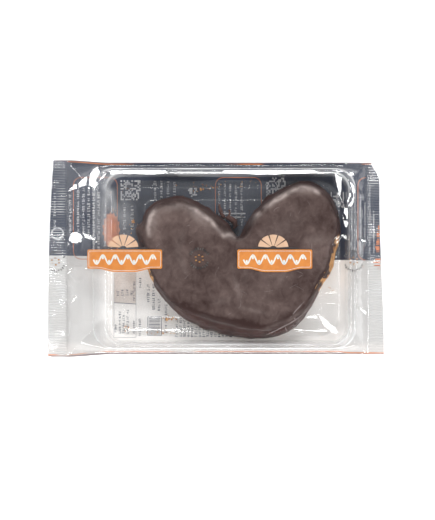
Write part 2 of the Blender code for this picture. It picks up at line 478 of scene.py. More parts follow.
@dataclass(frozen=True)
class PrintedFilm:
    """Opaque film: dark blue on one half, off-white on the other, a thin orange line at the sides."""

    blue: Colour = (0.026, 0.034, 0.060)
    white: Colour = (0.575, 0.567, 0.558)
    mauve: Colour = (0.33, 0.27, 0.27)
    # Painted light: the off-white is painted brighter under the tray, where the tray and palmier shade
    # it, and a lighter grey along the lower edge.
    painted_light_under_tray: Colour = (0.95, 0.93, 0.905)
    low_edge: Colour = (0.68, 0.655, 0.635)
    orange: Colour = (0.74, 0.24, 0.08)
    border: float = 0.0003
    border_slope: float = -0.0157
    line_gap: Pair = (0.0007, 0.0014)
    # Where the upper side's line is turned under with the film.
    turned_under: tuple[Pair, ...] = ((-0.056, 0.009), (0.029, 0.098))
    # Middle of the part that is under the tray, where the off-white is painted brighter and glows, and
    # where it ends on both sides of that.
    under_x: float = 0.0065
    under_ends: Pair = (0.076, 0.086)
    # A painted glow: the off-white half under the tray glows a little, as if the table's light came
    # through.
    painted_glow_strength: float = 0.070
    black: Colour = (0.0, 0.0, 0.0)

    def make(self) -> bpy.types.Material:
        """Builds the material."""
        board = Board("printed_film")
        edge = board.axis("Y") - board.axis("X") * self.border_slope - self.border
        mottle = board.noise(0.009, 4.0)
        blue = board.mix(mottle, self.blue, tuple(1.35 * c for c in self.blue))
        along = board.axis("X")
        reach = board.node("ShaderNodeMath", {"operation": "ABSOLUTE"}, {0: along - self.under_x})
        white = board.mix(reach.over(*self.under_ends), self.painted_light_under_tray, self.white)
        white = board.mix(board.axis("Y").over(-0.0585, -0.0535), self.low_edge, white)
        white = board.mix(mottle * 0.12, white, (0.55, 0.54, 0.53))
        base = board.mix(edge.over(-0.0001, 0.0001), white, blue)
        side = board.value("side_gap")
        near, far = self.line_gap
        line = side.over(near - 0.0001, near + 0.0001) * (1 - side.over(far - 0.0001, far + 0.0001))
        line = line * board.noise(0.030, 2.0).over(0.30, 0.55)
        upper = edge.over(0.0, 0.001)
        line = line * (1 - reach.over(0.104, 0.106) * upper)
        for start, stop in self.turned_under:
            hidden = along.over(start, start + 0.003) * (1 - along.over(stop - 0.003, stop))
            line = line * (1 - upper * hidden)
        base = board.mix(side.over(0.0002, 0.0008), self.mauve, base)
        base = board.mix(line, base, self.orange)
        bump = board.bump(board.noise(0.004, 3.0), 0.00008)
        # The painted glow, on the off-white half under the tray only.
        glow = board.mix(edge.over(-0.0001, 0.0001), (1.0, 0.97, 0.94), self.black)
        glow = board.mix(reach.over(*self.under_ends), glow, self.black)
        lit = {"Emission_Color": glow, "Emission_Strength": self.painted_glow_strength}
        return board.finish(board.surface(Base_Color=base, Roughness=0.32, Normal=bump, **lit))


@dataclass(frozen=True)
class Chocolate:
    """Dull chocolate with a pale bloom, painted shade and painted highlights that gather where the mesh
    says.
    """

    name: str = "chocolate"
    dark: Colour = (0.030, 0.012, 0.0100)
    bloom: Colour = (0.225, 0.163, 0.148)
    # Pale worn colour, also used to paint highlights along the ridges.
    worn: Colour = (0.44, 0.365, 0.340)
    # Dark brown along the foot, also painted shade along the lower side.
    foot_brown_and_shade: Colour = (0.066, 0.025, 0.021)
    roughness: float = 0.42

    def make(self) -> bpy.types.Material:
        """Builds the material."""
        board = Board(self.name)
        cloud = board.noise(0.018, 4.0, warp=0.8)
        smear = board.noise(0.0048, 6.0, (1.0, 1.2, 1.0), 0.7)
        speck = board.noise(0.0014, 4.0).over(0.54, 0.80)
        # The bloom value also carries painted shade along the lower side, the worn value painted
        # highlights on the ridges, and the rim value painted shade at the foot.
        amount = board.value("bloom") + (cloud - 0.5) * 0.55 + (smear - 0.5) * 0.56 + speck * 0.13
        base = board.mix(amount, self.dark, self.bloom)
        rubbed_and_sheen = board.noise(0.0050, 4.0, warp=0.8).over(0.15, 0.70)
        base = board.mix(board.value("worn") * (0.45 + 0.55 * rubbed_and_sheen), base, self.worn)
        base = board.mix(board.value("rim"), base, self.foot_brown_and_shade)
        bump = board.bump(board.noise(0.0022, 6.0), 0.00016)
        dull = amount * 0.25 + self.roughness
        look = {"Base_Color": base, "Roughness": dull, "Normal": bump, "Specular_IOR_Level": 0.14}
        return board.finish(board.surface(**look))


@dataclass(frozen=True)
class Crust:
    """Baked puff pastry: golden leaves with browned edges."""

    name: str = "pastry_crust"
    gold: Colour = (0.46, 0.215, 0.065)
    pale: Colour = (0.64, 0.38, 0.16)
    brown: Colour = (0.155, 0.052, 0.020)

    def make(self) -> bpy.types.Material:
        """Builds the material."""
        board = Board(self.name)
        leaf = board.noise(0.0016, 4.0, (2.5, 2.5, 0.45), 0.4)
        patch = board.noise(0.005, 3.0)
        base = board.mix(leaf.over(0.42, 0.66), self.gold, self.pale)
        base = board.mix(patch.over(0.52, 0.70), base, self.brown)
        bump = board.bump(leaf, 0.0004)
        return board.finish(board.surface(Base_Color=base, Roughness=0.62, Normal=bump))


@dataclass(frozen=True)
class Ink:
    """One flat colour of print, a little uneven."""

    name: str
    colour: Colour
    worn: Colour
    roughness: float = 0.5

    def make(self) -> bpy.types.Material:
        """Builds the material."""
        board = Board(self.name)
        base = board.mix(board.noise(0.005, 4.0).over(0.35, 0.65), self.colour, self.worn)
        return board.finish(board.surface(Base_Color=base, Roughness=self.roughness))


# The lights and the film's facets that mirror them


@dataclass(frozen=True)
class Softbox:
    """A rectangular light that faces the pack."""

    name: str
    azimuth: float
    from_zenith: float
    distance: float
    size: Pair
    radiance: float

    def place(self) -> Vector:
        """Where the light stands."""
        out, turn = math.radians(self.from_zenith), math.radians(self.azimuth)
        away = (math.sin(out) * math.cos(turn), math.sin(out) * math.sin(turn), math.cos(out))
        return Vector(away) * self.distance

    def build(self) -> None:
        """Makes the light, unseen by the camera itself."""
        light = bpy.data.lights.new(self.name, "AREA")
        light.shape = "RECTANGLE"
        light.size, light.size_y = self.size
        light.energy = self.radiance * 4.0 * self.size[0] * self.size[1]
        thing = bpy.data.objects.new(self.name, light)
        thing.location = self.place()
        thing.rotation_euler = (-thing.location).to_track_quat("-Z", "Y").to_euler()
        thing.visible_camera = False
        bpy.context.scene.collection.objects.link(thing)


BACK = Softbox("softbox_back", 90, 50, 1.3, (1.00, 0.14), 16.0)
FRONT = Softbox("softbox_front", 270, 60, 1.3, (1.20, 0.24), 14.0)
RIGHT = Softbox("softbox_right", 0, 42, 1.3, (0.50, 0.22), 14.0)
LEFT = Softbox("softbox_left", 152, 60, 1.3, (0.30, 0.22), 14.0)
CAMERA_PLACE = Vector((0.00099, -0.00099, 2.4))


# The pack's form


@dataclass(frozen=True)
class Crease:
    """A ridge in the film, or a valley where its height is negative, in millimetres."""

    points: tuple[Pair, ...]
    height: float
    spread: float

    def lift(self, x: Array, y: Array) -> Array:
        """How far the crease lifts the film."""
        gap, share = gap_to_line(x, y, np.array(self.points) * MM, closed=False)
        fade = np.sin(math.pi * np.clip(share, 0.0, 1.0)) ** 0.5
        return self.height * MM * fade * np.exp(-((gap / (self.spread * MM)) ** 1.5))


@dataclass(frozen=True)
class Facet:
    """A patch of film pulled flat, turned so that it mirrors a softbox to the camera, in millimetres."""

    outline: tuple[Pair, ...]
    mirrors: Softbox
    raised: float = 0.0
    softness: float = 0.5
    # How far the flat part reaches past the outline.
    margin: float = 0.4

    def centre(self) -> Array:
        """The middle of the patch, in metres."""
        return np.mean(self.outline, axis=0) * MM

    def drawn(self, x: Array, y: Array, z: Array, height_there: float) -> Array:
        """Draws a surface at this patch to its plane.

        Args:
            x: x of each point.
            y: y of each point.
            z: Height of each point.
            height_there: Height of the surface at the patch's centre.

        Returns:
            The new heights.
        """
        spot = Vector((*self.centre(), height_there))
        normal = (CAMERA_PLACE - spot).normalized() + (self.mirrors.place() - spot).normalized()
        edge = np.array(self.outline) * MM
        low, high = edge.min(0) - 3 * MM, edge.max(0) + 3 * MM
        near = np.nonzero((x > low[0]) & (x < high[0]) & (y > low[1]) & (y < high[1]))
        if not len(near[0]):
            return z
        px, py = x[near], y[near]
        gap = gap_to_line(px, py, edge)[0]
        share = 1.0 - smooth_step(gap, self.margin * MM, (self.margin + self.softness) * MM)
        slope = ((px - spot.x) * normal.x + (py - spot.y) * normal.y) / normal.z
        drawn = z.copy()
        drawn[near] += (height_there + self.raised * MM - slope - z[near]) * share
        return drawn


CREASES = (
    Crease(((-99, 33), (-90, 30), (-82, 21)), 0.7, 1.6),
    Crease(((-99, -4), (-96, -10), (-90, -17)), 0.5, 1),
    Crease(((91, 12), (96, 11), (102, 5)), 0.8, 1.1),
    Crease(((90, -24), (93, -31), (97.5, -35)), 0.8, 1),
    Crease(((90, 52), (96, 44), (100, 36)), 0.9, 1.4),
)
FACETS = (
    Facet(((-99, 43.8), (-95.2, 47.4), (-89.6, 50.6), (-89.6, 46.4), (-93.2, 45.4)), LEFT, 0.5,
           softness=0.2),
    Facet(((-90.8, 49.9), (-86.2, 53), (-83.2, 56.2), (-82.2, 56), (-82.2, 47.6), (-85.2, 48),
           (-90.8, 46.4)), LEFT, 0.1, softness=0.2),
    Facet(((-83.3, 56), (-81, 58.4), (-78.6, 60.4), (-77.2, 60.4), (-76.2, 55), (-73.4, 53.6),
           (-75.6, 49.8), (-78.4, 46.2), (-80.2, 46.4), (-83.9, 48.4)), RIGHT, -0.6, softness=0.35),
    Facet(((-76.2, 50.6), (-72.6, 54.6), (-72, 55.6), (-74.4, 55), (-76.4, 52.6)), RIGHT,
           softness=0.8),
    Facet(((-103.2, 2.1), (-102.7, 5.3), (-101.2, 8.4), (-98.9, 12), (-96.2, 14.7), (-93.1, 16.5),
           (-94.9, 12), (-98, 8.4), (-100.3, 5.3), (-101.6, 2.6)), LEFT, 0.3),
    Facet(((-95.8, 16.3), (-92.6, 17.5), (-89.4, 16.3), (-87.8, 14.3), (-88.7, 11.6), (-91.7, 10.2),
           (-94.9, 10.2), (-97.1, 12.5)), LEFT, 0.4, softness=1),
    Facet(((-87.8, 17.6), (-85.8, 16.2), (-82.2, 14.5), (-78.2, 12.2), (-78.6, 11.5), (-82.4, 12.8),
           (-86, 13.4)), LEFT, 0.2, softness=0.4),
    Facet(((77.3, 57.5), (79.3, 55.3), (82.5, 53), (82.9, 49.4), (82.6, 45.8), (82.1, 42.4),
           (82.7, 37.7), (81, 41.3), (79.8, 45.8), (78.5, 50.3), (77.8, 54.8)), RIGHT, 0.3),
    Facet(((88.4, 57.5), (87, 55.1), (89.8, 54), (90.9, 56)), RIGHT, 0.2),
    Facet(((87.9, 51), (89.1, 50.3), (90.9, 47.6), (91.3, 43.1), (91.1, 39.5), (90, 36.8),
           (87.3, 34.8), (86.6, 35.2), (89.1, 37.2), (89.7, 39.5), (89.5, 43.1), (88.6, 47.2),
           (87.9, 49)), RIGHT, 0.2, softness=0.3),
    Facet(((87.7, 44), (88.6, 43.1), (89.1, 41.3), (87.7, 39), (86.6, 37), (85.7, 37.2),
           (86.6, 39.5), (87.3, 41.7)), RIGHT, 0.2, softness=0.3),
    Facet(((91, 37.6), (88.8, 34.5), (85.3, 32.6), (86.2, 34), (88, 35.6)), RIGHT, 0.2),
    Facet(((83.9, 32.7), (86.6, 33.2), (87, 29.6), (86.6, 26.2), (84.8, 25.8), (83.7, 29.6)), RIGHT,
           0.2),
    Facet(((82.9, 28.1), (83.6, 28.1), (84.2, 26.2), (83.4, 26.2)), RIGHT),
    Facet(((83.7, 24.4), (86.1, 24.5), (87.2, 23.3), (86.1, 20.8), (84.4, 21.3)), RIGHT, 0.1),
    Facet(((77.1, 10), (78.5, 13), (81.6, 14.9), (83.6, 15.4), (87, 13.5), (84.1, 13.3),
           (81.9, 13.7), (79.4, 11.8)), RIGHT, 0.1, softness=0.35),
    Facet(((77.2, 9.6), (79.4, 10.2), (82, 12.6), (82.6, 14), (81.4, 12.8), (79.4, 11)), RIGHT,
           softness=0.3),
    Facet(((92.5, 12.4), (95.8, 12.9), (99.2, 11.2), (98.8, 10.2), (95.8, 11.6)), BACK, 0.5),
    Facet(((-61, -46.3), (-40, -46.6), (-15, -47.2), (-15, -47.5), (-40, -47.3),
           (-61, -46.5)), FRONT, 0.1, softness=0.25),
    Facet(((52, -47.2), (66, -47.2), (75, -47.5), (75, -47.9), (52, -47.6)), FRONT, 0.1,
           softness=0.25),
    Facet(((-98.8, -10.4), (-96.5, -8.4), (-94, -6.2), (-94.4, -6.9), (-96.8, -9.4)), LEFT,
           softness=0.2),
    Facet(((-95.9, -29), (-93.8, -26.6), (-92, -24.6), (-91.9, -25.2), (-93.6, -27.6)), LEFT,
           softness=0.25),
    Facet(((-101, -23.2), (-98.6, -21.6), (-98.4, -22), (-100.6, -23.6)), LEFT, softness=0.25),
    Facet(((98.6, -20.6), (99.8, -22.4), (102.6, -26.2), (103, -27.6), (101.6, -26.6), (99.2, -23.4)),
           RIGHT, 0.2),
    Facet(((92.6, -29.8), (94, -31.8), (98.8, -34.9), (103.7, -36.2), (104.2, -37), (100.2, -37.8),
           (96.1, -34.9)), RIGHT, 0.2, softness=0.3),
    Facet(((60.3, -38), (67.6, -37.5), (69.4, -38.6), (68.3, -39.5), (60.6, -38.9)), FRONT, 0.2,
           softness=0.4),
    Facet(((67.6, -37.5), (71.7, -39.9), (75.9, -43.4), (80.8, -48.6), (79.4, -49.6), (75.2, -48.2),
           (71.1, -43.7), (68.3, -39.5)), FRONT, 0.2, softness=0.5),
    Facet(((72.2, -22.3), (77.4, -22.5), (77.4, -23), (72.2, -22.8)), FRONT, 0.1, softness=0.3),
    Facet(((72.2, -29.2), (77.4, -29.4), (77.4, -29.9), (72.2, -29.7)), FRONT, 0.1, softness=0.3),
)


@dataclass(frozen=True)
class Patch:
    """A soft oval where a surface is paler, or darker where the amount is negative, in millimetres."""

    centre: Pair
    size: Pair
    turn: float
    amount: float

    def glow(self, x: Array, y: Array) -> Array:
        """How much the patch adds at each point."""
        dx, dy = x / MM - self.centre[0], y / MM - self.centre[1]
        turn = math.radians(self.turn)
        along = dx * math.cos(turn) + dy * math.sin(turn)
        across = dy * math.cos(turn) - dx * math.sin(turn)
        return self.amount * np.exp(-((along / self.size[0]) ** 2) - (across / self.size[1]) ** 2)


def ovals(*rows: Sequence[float]) -> tuple[Patch, ...]:
    """Patches from rows of x, y, reach along, reach across, turn and amount."""
    return tuple(Patch((x, y), (along, across), turn, add) for x, y, along, across, turn, add in rows)


@dataclass(frozen=True)
class Corner:
    """A part of the pack that fades in along x and along y, from a first value to a second."""

    x: Pair
    y: Pair

    def share(self, x: Array, y: Array) -> Array:
        """How far inside the corner each point is, from 0 to 1."""
        return smooth_step(x, *self.x) * smooth_step(y, *self.y)


# Where the crimp is faint, and the outer corners where little of it is whitened.
FAINT_CRIMP = Corner((0.090, 0.099), (-0.026, -0.036))
PLAIN_CORNERS = Corner((0.090, 0.099), (0.036, 0.046))
# The corner whose film is pulled tight, above a line that climbs by the slope.
TIGHT_CORNER = Corner((-0.070, -0.080), (0.046, 0.052))
TIGHT_START, TIGHT_SLOPE = -0.085, 0.6
# Where the tray's rim is whitened less and carries less painted highlight.
LESS_RIM_HIGHLIGHT = Corner((-0.060, -0.068), (0.005, -0.010))
# Where the palmier's outline is drawn in, and the left of its side, which has more bloom.
DRAWN_IN = Corner((0.060, 0.046), (-0.034, -0.012))
PALE_SIDE = Corner((-0.030, -0.044), (0.004, 0.014))
# Where the slack ends lie flat.
FLAT_SPOTS = (
    Patch((-88, 37), (6, 6), 0, 0.95), Patch((-90, -22), (7, 9), 0, 0.8),
    Patch((-91, -43), (6, 9), 0, 0.8), Patch((97, 13.5), (4, 4), 0, 0.9),
)
# Where the left seal is pressed whitest, with the most painted highlight on its ribs.
SEAL_BLOT = Patch((-103, 34), (3, 5), 0, 0.7)
# Soft patches of painted sheen on the slack film, where it is also rubbed dull.
SHEEN_AND_SCUFFS = (
    Patch((-59, 26), (5, 14), 0, 0.13), Patch((-69, 42), (2.6, 12), 14, 0.16),
    Patch((101, 28), (1.6, 18), 0, 0.10),
    Patch((-70.5, 40), (3, 12), 24, 0.26), Patch((-80, 45), (2, 7), 20, 0.22),
    Patch((94, 9.5), (2.2, 4), 20, 0.22), Patch((-84.5, 13), (2.4, 6), 0, 0.16),
    Patch((81, 48), (1.6, 9), 8, 0.12), Patch((90, 45), (2.4, 11), -6, 0.06),
)


@dataclass(frozen=True)
class PackForm:
    """The form of the film, which follows the solid's driving sizes."""

    half_length: float = 0.111
    half_width: float = 0.065
    waist: float = 0.0632
    neck: float = 0.0016
    seal_z: float = 0.0085
    left_seal: float = -0.0988
    right_seal: float = 0.10002
    tray_x: float = 0.0055
    rim: Pair = (0.174, 0.1106)
    rim_corner: float = 0.018
    rim_z: float = 0.0204
    base: Pair = (0.152, 0.102)
    base_corner: float = 0.014
    base_z: float = 0.0003
    fold_z: float = 0.0150
    # How far the film has come down from the rim, for a share of the way to the fold.
    back_fall: tuple[Pair, ...] = ((0, 0), (0.45, 0.31), (0.64, 0.84), (0.80, 0.98), (1, 1))
    front_fall: tuple[Pair, ...] = (
        (0, 0), (0.45, 0.05), (0.60, 0.18), (0.78, 0.86), (0.9, 1), (1, 1),
    )
    rim_wave: float = 0.0007
    # Height of the film's folds at the slack ends, broad and fine, and of the back film's.
    rumple: Pair = (0.0009, 0.0005)
    back_rumple: float = 0.0006
    ripple: float = 0.00010
    drape_power: float = 1.12
    under_power: float = 1.15
    pastry_rise: float = 0.0014
    shoulder: float = 0.0035
    slack: float = 1.7
    web: float = 0.00006
    crimp: float = 0.00023
    ribs: int = 76
    left_lean: float = 0.0036
    left_power: float = 2.6
    right_lean: float = 0.0030
    curled: float = 0.0053

    @property
    def rim_ends(self) -> Pair:
        """The x of the tray's rim at its left and right end."""
        return self.tray_x - self.rim[0] / 2, self.tray_x + self.rim[0] / 2

    def ends(self, x: Array) -> tuple[Array, Array]:
        """How far a place has come down towards the left and the right seal, from 0 to 1."""
        left_rim, right_rim = self.rim_ends
        left = smooth_step(-x, -left_rim - 0.010, -self.left_seal)
        return left, smooth_step(x, right_rim - 0.010, self.right_seal)

    def off_tray(self, x: Array) -> Array:
        """How far a place has come down towards either seal, from 0 to 1."""
        left, right = self.ends(x)
        return np.clip(left + right, 0.0, 1.0)

    def half_width_at(self, x: Array) -> Array:
        """Half the width of the pack."""
        left_rim, right_rim = self.rim_ends
        left = smooth_step(-x, -left_rim - 0.012, -self.left_seal)
        right = smooth_step(x, right_rim - 0.004, self.right_seal)
        flare = self.half_width - self.waist
        return self.waist + flare * left + (flare - self.neck) * right

    def fold_z_at(self, x: Array) -> Array:
        """Height of the line where the film turns under."""
        return self.fold_z + (self.seal_z - self.fold_z) * np.maximum(*self.ends(x))

    def edge_gap(self, x: Array, y: Array) -> Array:
        """Distance to the nearest long edge or seal."""
        ends = np.minimum(x - self.left_seal, self.right_seal - x)
        return np.maximum(np.minimum(self.half_width_at(x) - np.abs(y), ends), 0.0)

    def in_seal(self, x: Array) -> Array:
        """Where the two films are sealed together."""
        return (x <= self.left_seal + 1e-7) | (x >= self.right_seal - 1e-7)

    def rib_wave(self, y: Array) -> Array:
        """The crimp's ribs across the pack, from -1 between them to 1 on them."""
        return np.cos(math.pi * (y / self.half_width + 1.0) * self.ribs)

    def into_seal(self, x: Array) -> Array:
        """How far a place is inside the nearest seal, or outside it where negative."""
        return np.maximum(self.left_seal - x, x - self.right_seal)

    def crimped(self, x: Array, y: Array) -> Array:
        """Height of the ribs pressed into the end seals."""
        uneven = 0.75 + 0.45 * soft_noise(x, y, 0.007, 21)
        faint = 1.0 - 0.65 * FAINT_CRIMP.share(x, y)
        pressed = smooth_step(self.into_seal(x), -0.0012, 0.0006)
        return self.crimp * faint * self.rib_wave(y) * uneven * pressed

    def frost_and_sheen(self, x: Array, y: Array) -> Array:
        """How frosted the film is: along the ribs of the seals, partly painted highlight, a little over
        the slack ends as painted sheen, and in soft patches of painted sheen.
        """
        blobs = smooth_step(layered_noise(x, y, 0.009, 25), -0.35, 0.75) + SEAL_BLOT.glow(x, y)
        blobs = blobs * (1 - 0.6 * PLAIN_CORNERS.share(x * np.sign(-y), np.abs(y)))
        pressed = smooth_step(self.into_seal(x), -0.0006, 0.0006)
        # The ribs are whitened partly as pressed film and partly as painted highlight.
        ribs = np.clip(self.rib_wave(y), 0.0, 1.0) ** 1.5 * (0.14 + 0.70 * blobs) * pressed
        # A little painted sheen over the slack ends.
        cloudy = smooth_step(soft_noise(x, y, 0.012, 26), -0.2, 0.8)
        slack = self.off_tray(x) * (0.03 + 0.05 * cloudy)
        # Soft patches of painted sheen.
        rubbed_and_sheen = sum(patch.glow(x, y) for patch in SHEEN_AND_SCUFFS)
        return ribs + slack + rubbed_and_sheen * (0.7 + 0.5 * soft_noise(x, y, 0.004, 27))

    def looseness(self, x: Array, y: Array) -> Array:
        """How rumpled the ends are: less in the corner that is pulled tight, and in a few flat spots."""
        corner = TIGHT_CORNER.share(x, y - TIGHT_SLOPE * (x - TIGHT_START))
        flat = sum(spot.glow(x, y) for spot in FLAT_SPOTS)
        return np.clip(1.0 - 0.9 * corner - flat, 0.0, 1.0)

    def eased_fall(self, share: Array, knots: Sequence[Sequence[float]]) -> Array:
        """A line through knots with its corners rounded."""
        at, value = np.array(knots, float).T
        offsets = np.linspace(-0.04, 0.04, 7)
        return sum(np.interp(share + offset, at, value) for offset in offsets) / 7

    def level(self, x: Array, y: Array, pastry: Array) -> Array:
        """Height of the front film without creases.

        Args:
            x: x of each point.
            y: y of each point.
            pastry: The palmier's outline.

        Returns:
            The heights.
        """
        rim = rounded_gap(x, y, self.tray_x, self.rim, self.rim_corner)
        rim = rim + self.rim_wave * soft_noise(x, 0 * y, 0.019, 6) * smooth_step(y, 0.030, 0.050)
        inside = gap_to_line(x, y, pastry)[0] + self.shoulder
        fall = np.maximum(rim, 0.0) / (np.maximum(rim, 0.0) + self.edge_gap(x, y) + 1e-9)
        side = self.half_width_at(x) - np.abs(y) < np.minimum(x - self.left_seal, self.right_seal - x)
        back, front = (self.eased_fall(fall, knots) for knots in (self.back_fall, self.front_fall))
        fall = np.where(side, np.where(y > 0, back, front), fall**self.drape_power)
        z = self.rim_z + (self.fold_z_at(x) + self.web - self.rim_z) * fall
        tent = np.maximum(-rim, 0.0) / (np.maximum(-rim, 0.0) + np.maximum(inside, 0.0) + 1e-9)
        return z + self.pastry_rise * tent**self.slack

    def front(self, x: Array, y: Array, pastry: Array) -> Array:
        """Height of the front film with its creases and ribs.

        Args:
            x: x of each point.
            y: y of each point.
            pastry: The palmier's outline.

        Returns:
            The heights.
        """
        z = self.level(x, y, pastry)
        past_rim = rounded_gap(x, y, self.tray_x, self.rim, self.rim_corner)
        loose = smooth_step(past_rim, -0.006, 0.004)
        held = smooth_step(self.edge_gap(x, y), 0.0, 0.003)
        broad, fine = self.rumple
        rumpled = broad * crumple(x, y, 0.011, 3) + fine * crumple(x, y, 0.005, 4)
        z = z + self.looseness(x, y) * loose * held * self.off_tray(x) * rumpled
        z = z + (1 - 0.6 * loose) * held * self.ripple * soft_noise(x, y * 1.8, 0.016, 8)
        for crease in CREASES:
            z = z + crease.lift(x, y)
        for facet in FACETS:
            centre = facet.centre()[:, None]
            z = facet.drawn(x, y, z, float(self.level(centre[0], centre[1], pastry)[0]))
        sealed = self.seal_z + self.web + self.crimped(x, y)
        return np.where(self.in_seal(x), sealed, z + self.crimped(x, y) * held)

    def back(self, x: Array, y: Array) -> Array:
        """Height of the printed film: flat under the tray, rising to the folds and the seals."""
        away = np.maximum(rounded_gap(x, y, self.tray_x, self.base, self.base_corner), 0.0)
        gap = self.edge_gap(x, y)
        rise = (away / (away + gap + 1e-9)) ** self.under_power
        z = self.base_z + (self.fold_z_at(x) - self.web - self.base_z) * rise
        rumpled = self.looseness(x, y) * (crumple(x, y, 0.009, 31) - 0.4)
        z = z + self.back_rumple * self.off_tray(x) * smooth_step(gap, 0.0, 0.003) * rumpled
        return np.where(self.in_seal(x), self.seal_z - self.web + self.crimped(x, y), z)

    def cut_end(self, left: bool, across: Array) -> Array:
        """The x of a seal's cut end.

        Args:
            left: Whether it is the left-hand seal.
            across: Place across the pack, from -1 to 1.

        Returns:
            The x of each place.
        """
        if left:
            return -self.half_length + self.left_lean * ((across + 1.0) / 2.0) ** self.left_power
        curl = smooth_step(across, 0.75, 1.0) ** 2
        return self.half_length - self.curled * curl - self.right_lean * smooth_step(across, -1.0, 0.6)

    def lattice(self, rows: int, step: float, end_step: float) -> tuple[Array, Array]:
        """The x and y of a grid over the whole film.

        Args:
            rows: Rows across the pack.
            step: Size of the columns over the tray.
            end_step: Size of the columns over the ends.

        Returns:
            Two arrays of columns by rows.
        """
        left_rim, right_rim = self.rim_ends
        marks = (self.left_seal, left_rim, right_rim, self.right_seal)
        body = []
        for start, stop, size in zip(marks, marks[1:], (end_step, step, end_step)):
            body.append(np.linspace(start, stop, max(2, round((stop - start) / size)), endpoint=False))
        columns = np.concatenate([*body, [self.right_seal]])
        across = np.linspace(-1.0, 1.0, rows)
        inner = np.repeat(columns[:, None], rows, 1)
        steps = np.linspace(0.0, 1.0, 9)[:, None]
        left = self.cut_end(True, across)[None] * (1 - steps) + self.left_seal * steps
        right = self.right_seal * (1 - steps) + self.cut_end(False, across)[None] * steps
        x = np.concatenate([left[:-1], inner, right[1:]])
        clamped = np.clip(x, self.left_seal, self.right_seal)
        return x, self.half_width_at(clamped) * across[None]


@dataclass
class Film:
    """The clear front film and the printed back film with its fin seal."""

    form: PackForm
    pastry: Array
    rows: int = 305
    step: float = 0.0006
    end_step: float = 0.0005
    fin_width: float = 0.011
    fin_rib: float = 0.0017
    fin_lift: float = 0.00017
    # How far the lower side's print is set in, and the ranges of x where that fades.
    print_inset: float = 0.0008
    inset_right: Pair = (0.080, 0.090)
    inset_left: Pair = (-0.085, -0.095)

    def front_z(self, x: Array, y: Array) -> Array:
        """Height of the front film at any points."""
        flat = self.form.front(np.ravel(x), np.ravel(y), self.pastry)
        return flat.reshape(np.shape(x))

    def back_z(self, x: Array, y: Array) -> Array:
        """Height of the printed film at any points."""
        return self.form.back(np.ravel(x), np.ravel(y)).reshape(np.shape(x))

    def build(self) -> None:
        """Makes and dresses the films."""
        x, y = self.form.lattice(self.rows, self.step, self.end_step)
        front = Skin()
        front.grid(np.stack([x, y, self.front_z(x, y)], 2), flip=True)
        clear = place(front.make("film_front"), ClearPlastic("clear_film").make())
        put_values(clear, "frost_and_sheen", self.form.frost_and_sheen(x.ravel(), y.ravel()))
        x, y = self.form.lattice(self.rows, self.step * 2, self.end_step * 1.5)
        back = Skin()
        back.grid(np.stack([x, y, self.back_z(x, y)], 2))
        printed = place(back.make("film_back"), PrintedFilm().make())
        clamped = np.clip(x, self.form.left_seal, self.form.right_seal)
        inset = np.where(y < 0, self.print_inset, 0.0) * (1 - smooth_step(x, *self.inset_right))
        inset = inset * (1 - 0.6 * smooth_step(x, *self.inset_left))
        side = self.form.half_width_at(clamped) - np.abs(y) - inset
        put_values(printed, "side_gap", side.ravel())
        self.build_fin()

    def build_fin(self) -> None:
        """Makes the fin seal that runs along the middle of the back, folded to one side."""
        x = np.linspace(self.form.left_seal + 0.0005, self.form.right_seal - 0.0005, 400)
        y = np.linspace(-0.001, self.fin_width, 12)
        x, y = np.meshgrid(x, y, indexing="ij")
        ribs = 0.00006 * np.cos(2 * math.pi * x / self.fin_rib) * smooth_step(y, 0.0, 0.002)
        low = np.maximum(self.back_z(x, y) - self.fin_lift + ribs, 0.00001)
        skin = Skin()
        skin.grid(np.stack([x, y, low], 2))
        skin.grid(np.stack([x, y, low + 0.00008], 2), flip=True)
        fin = place(skin.make("fin_seal"), PrintedFilm().make())
        put_values(fin, "side_gap", np.full(2 * x.size, 0.03))


# The tray


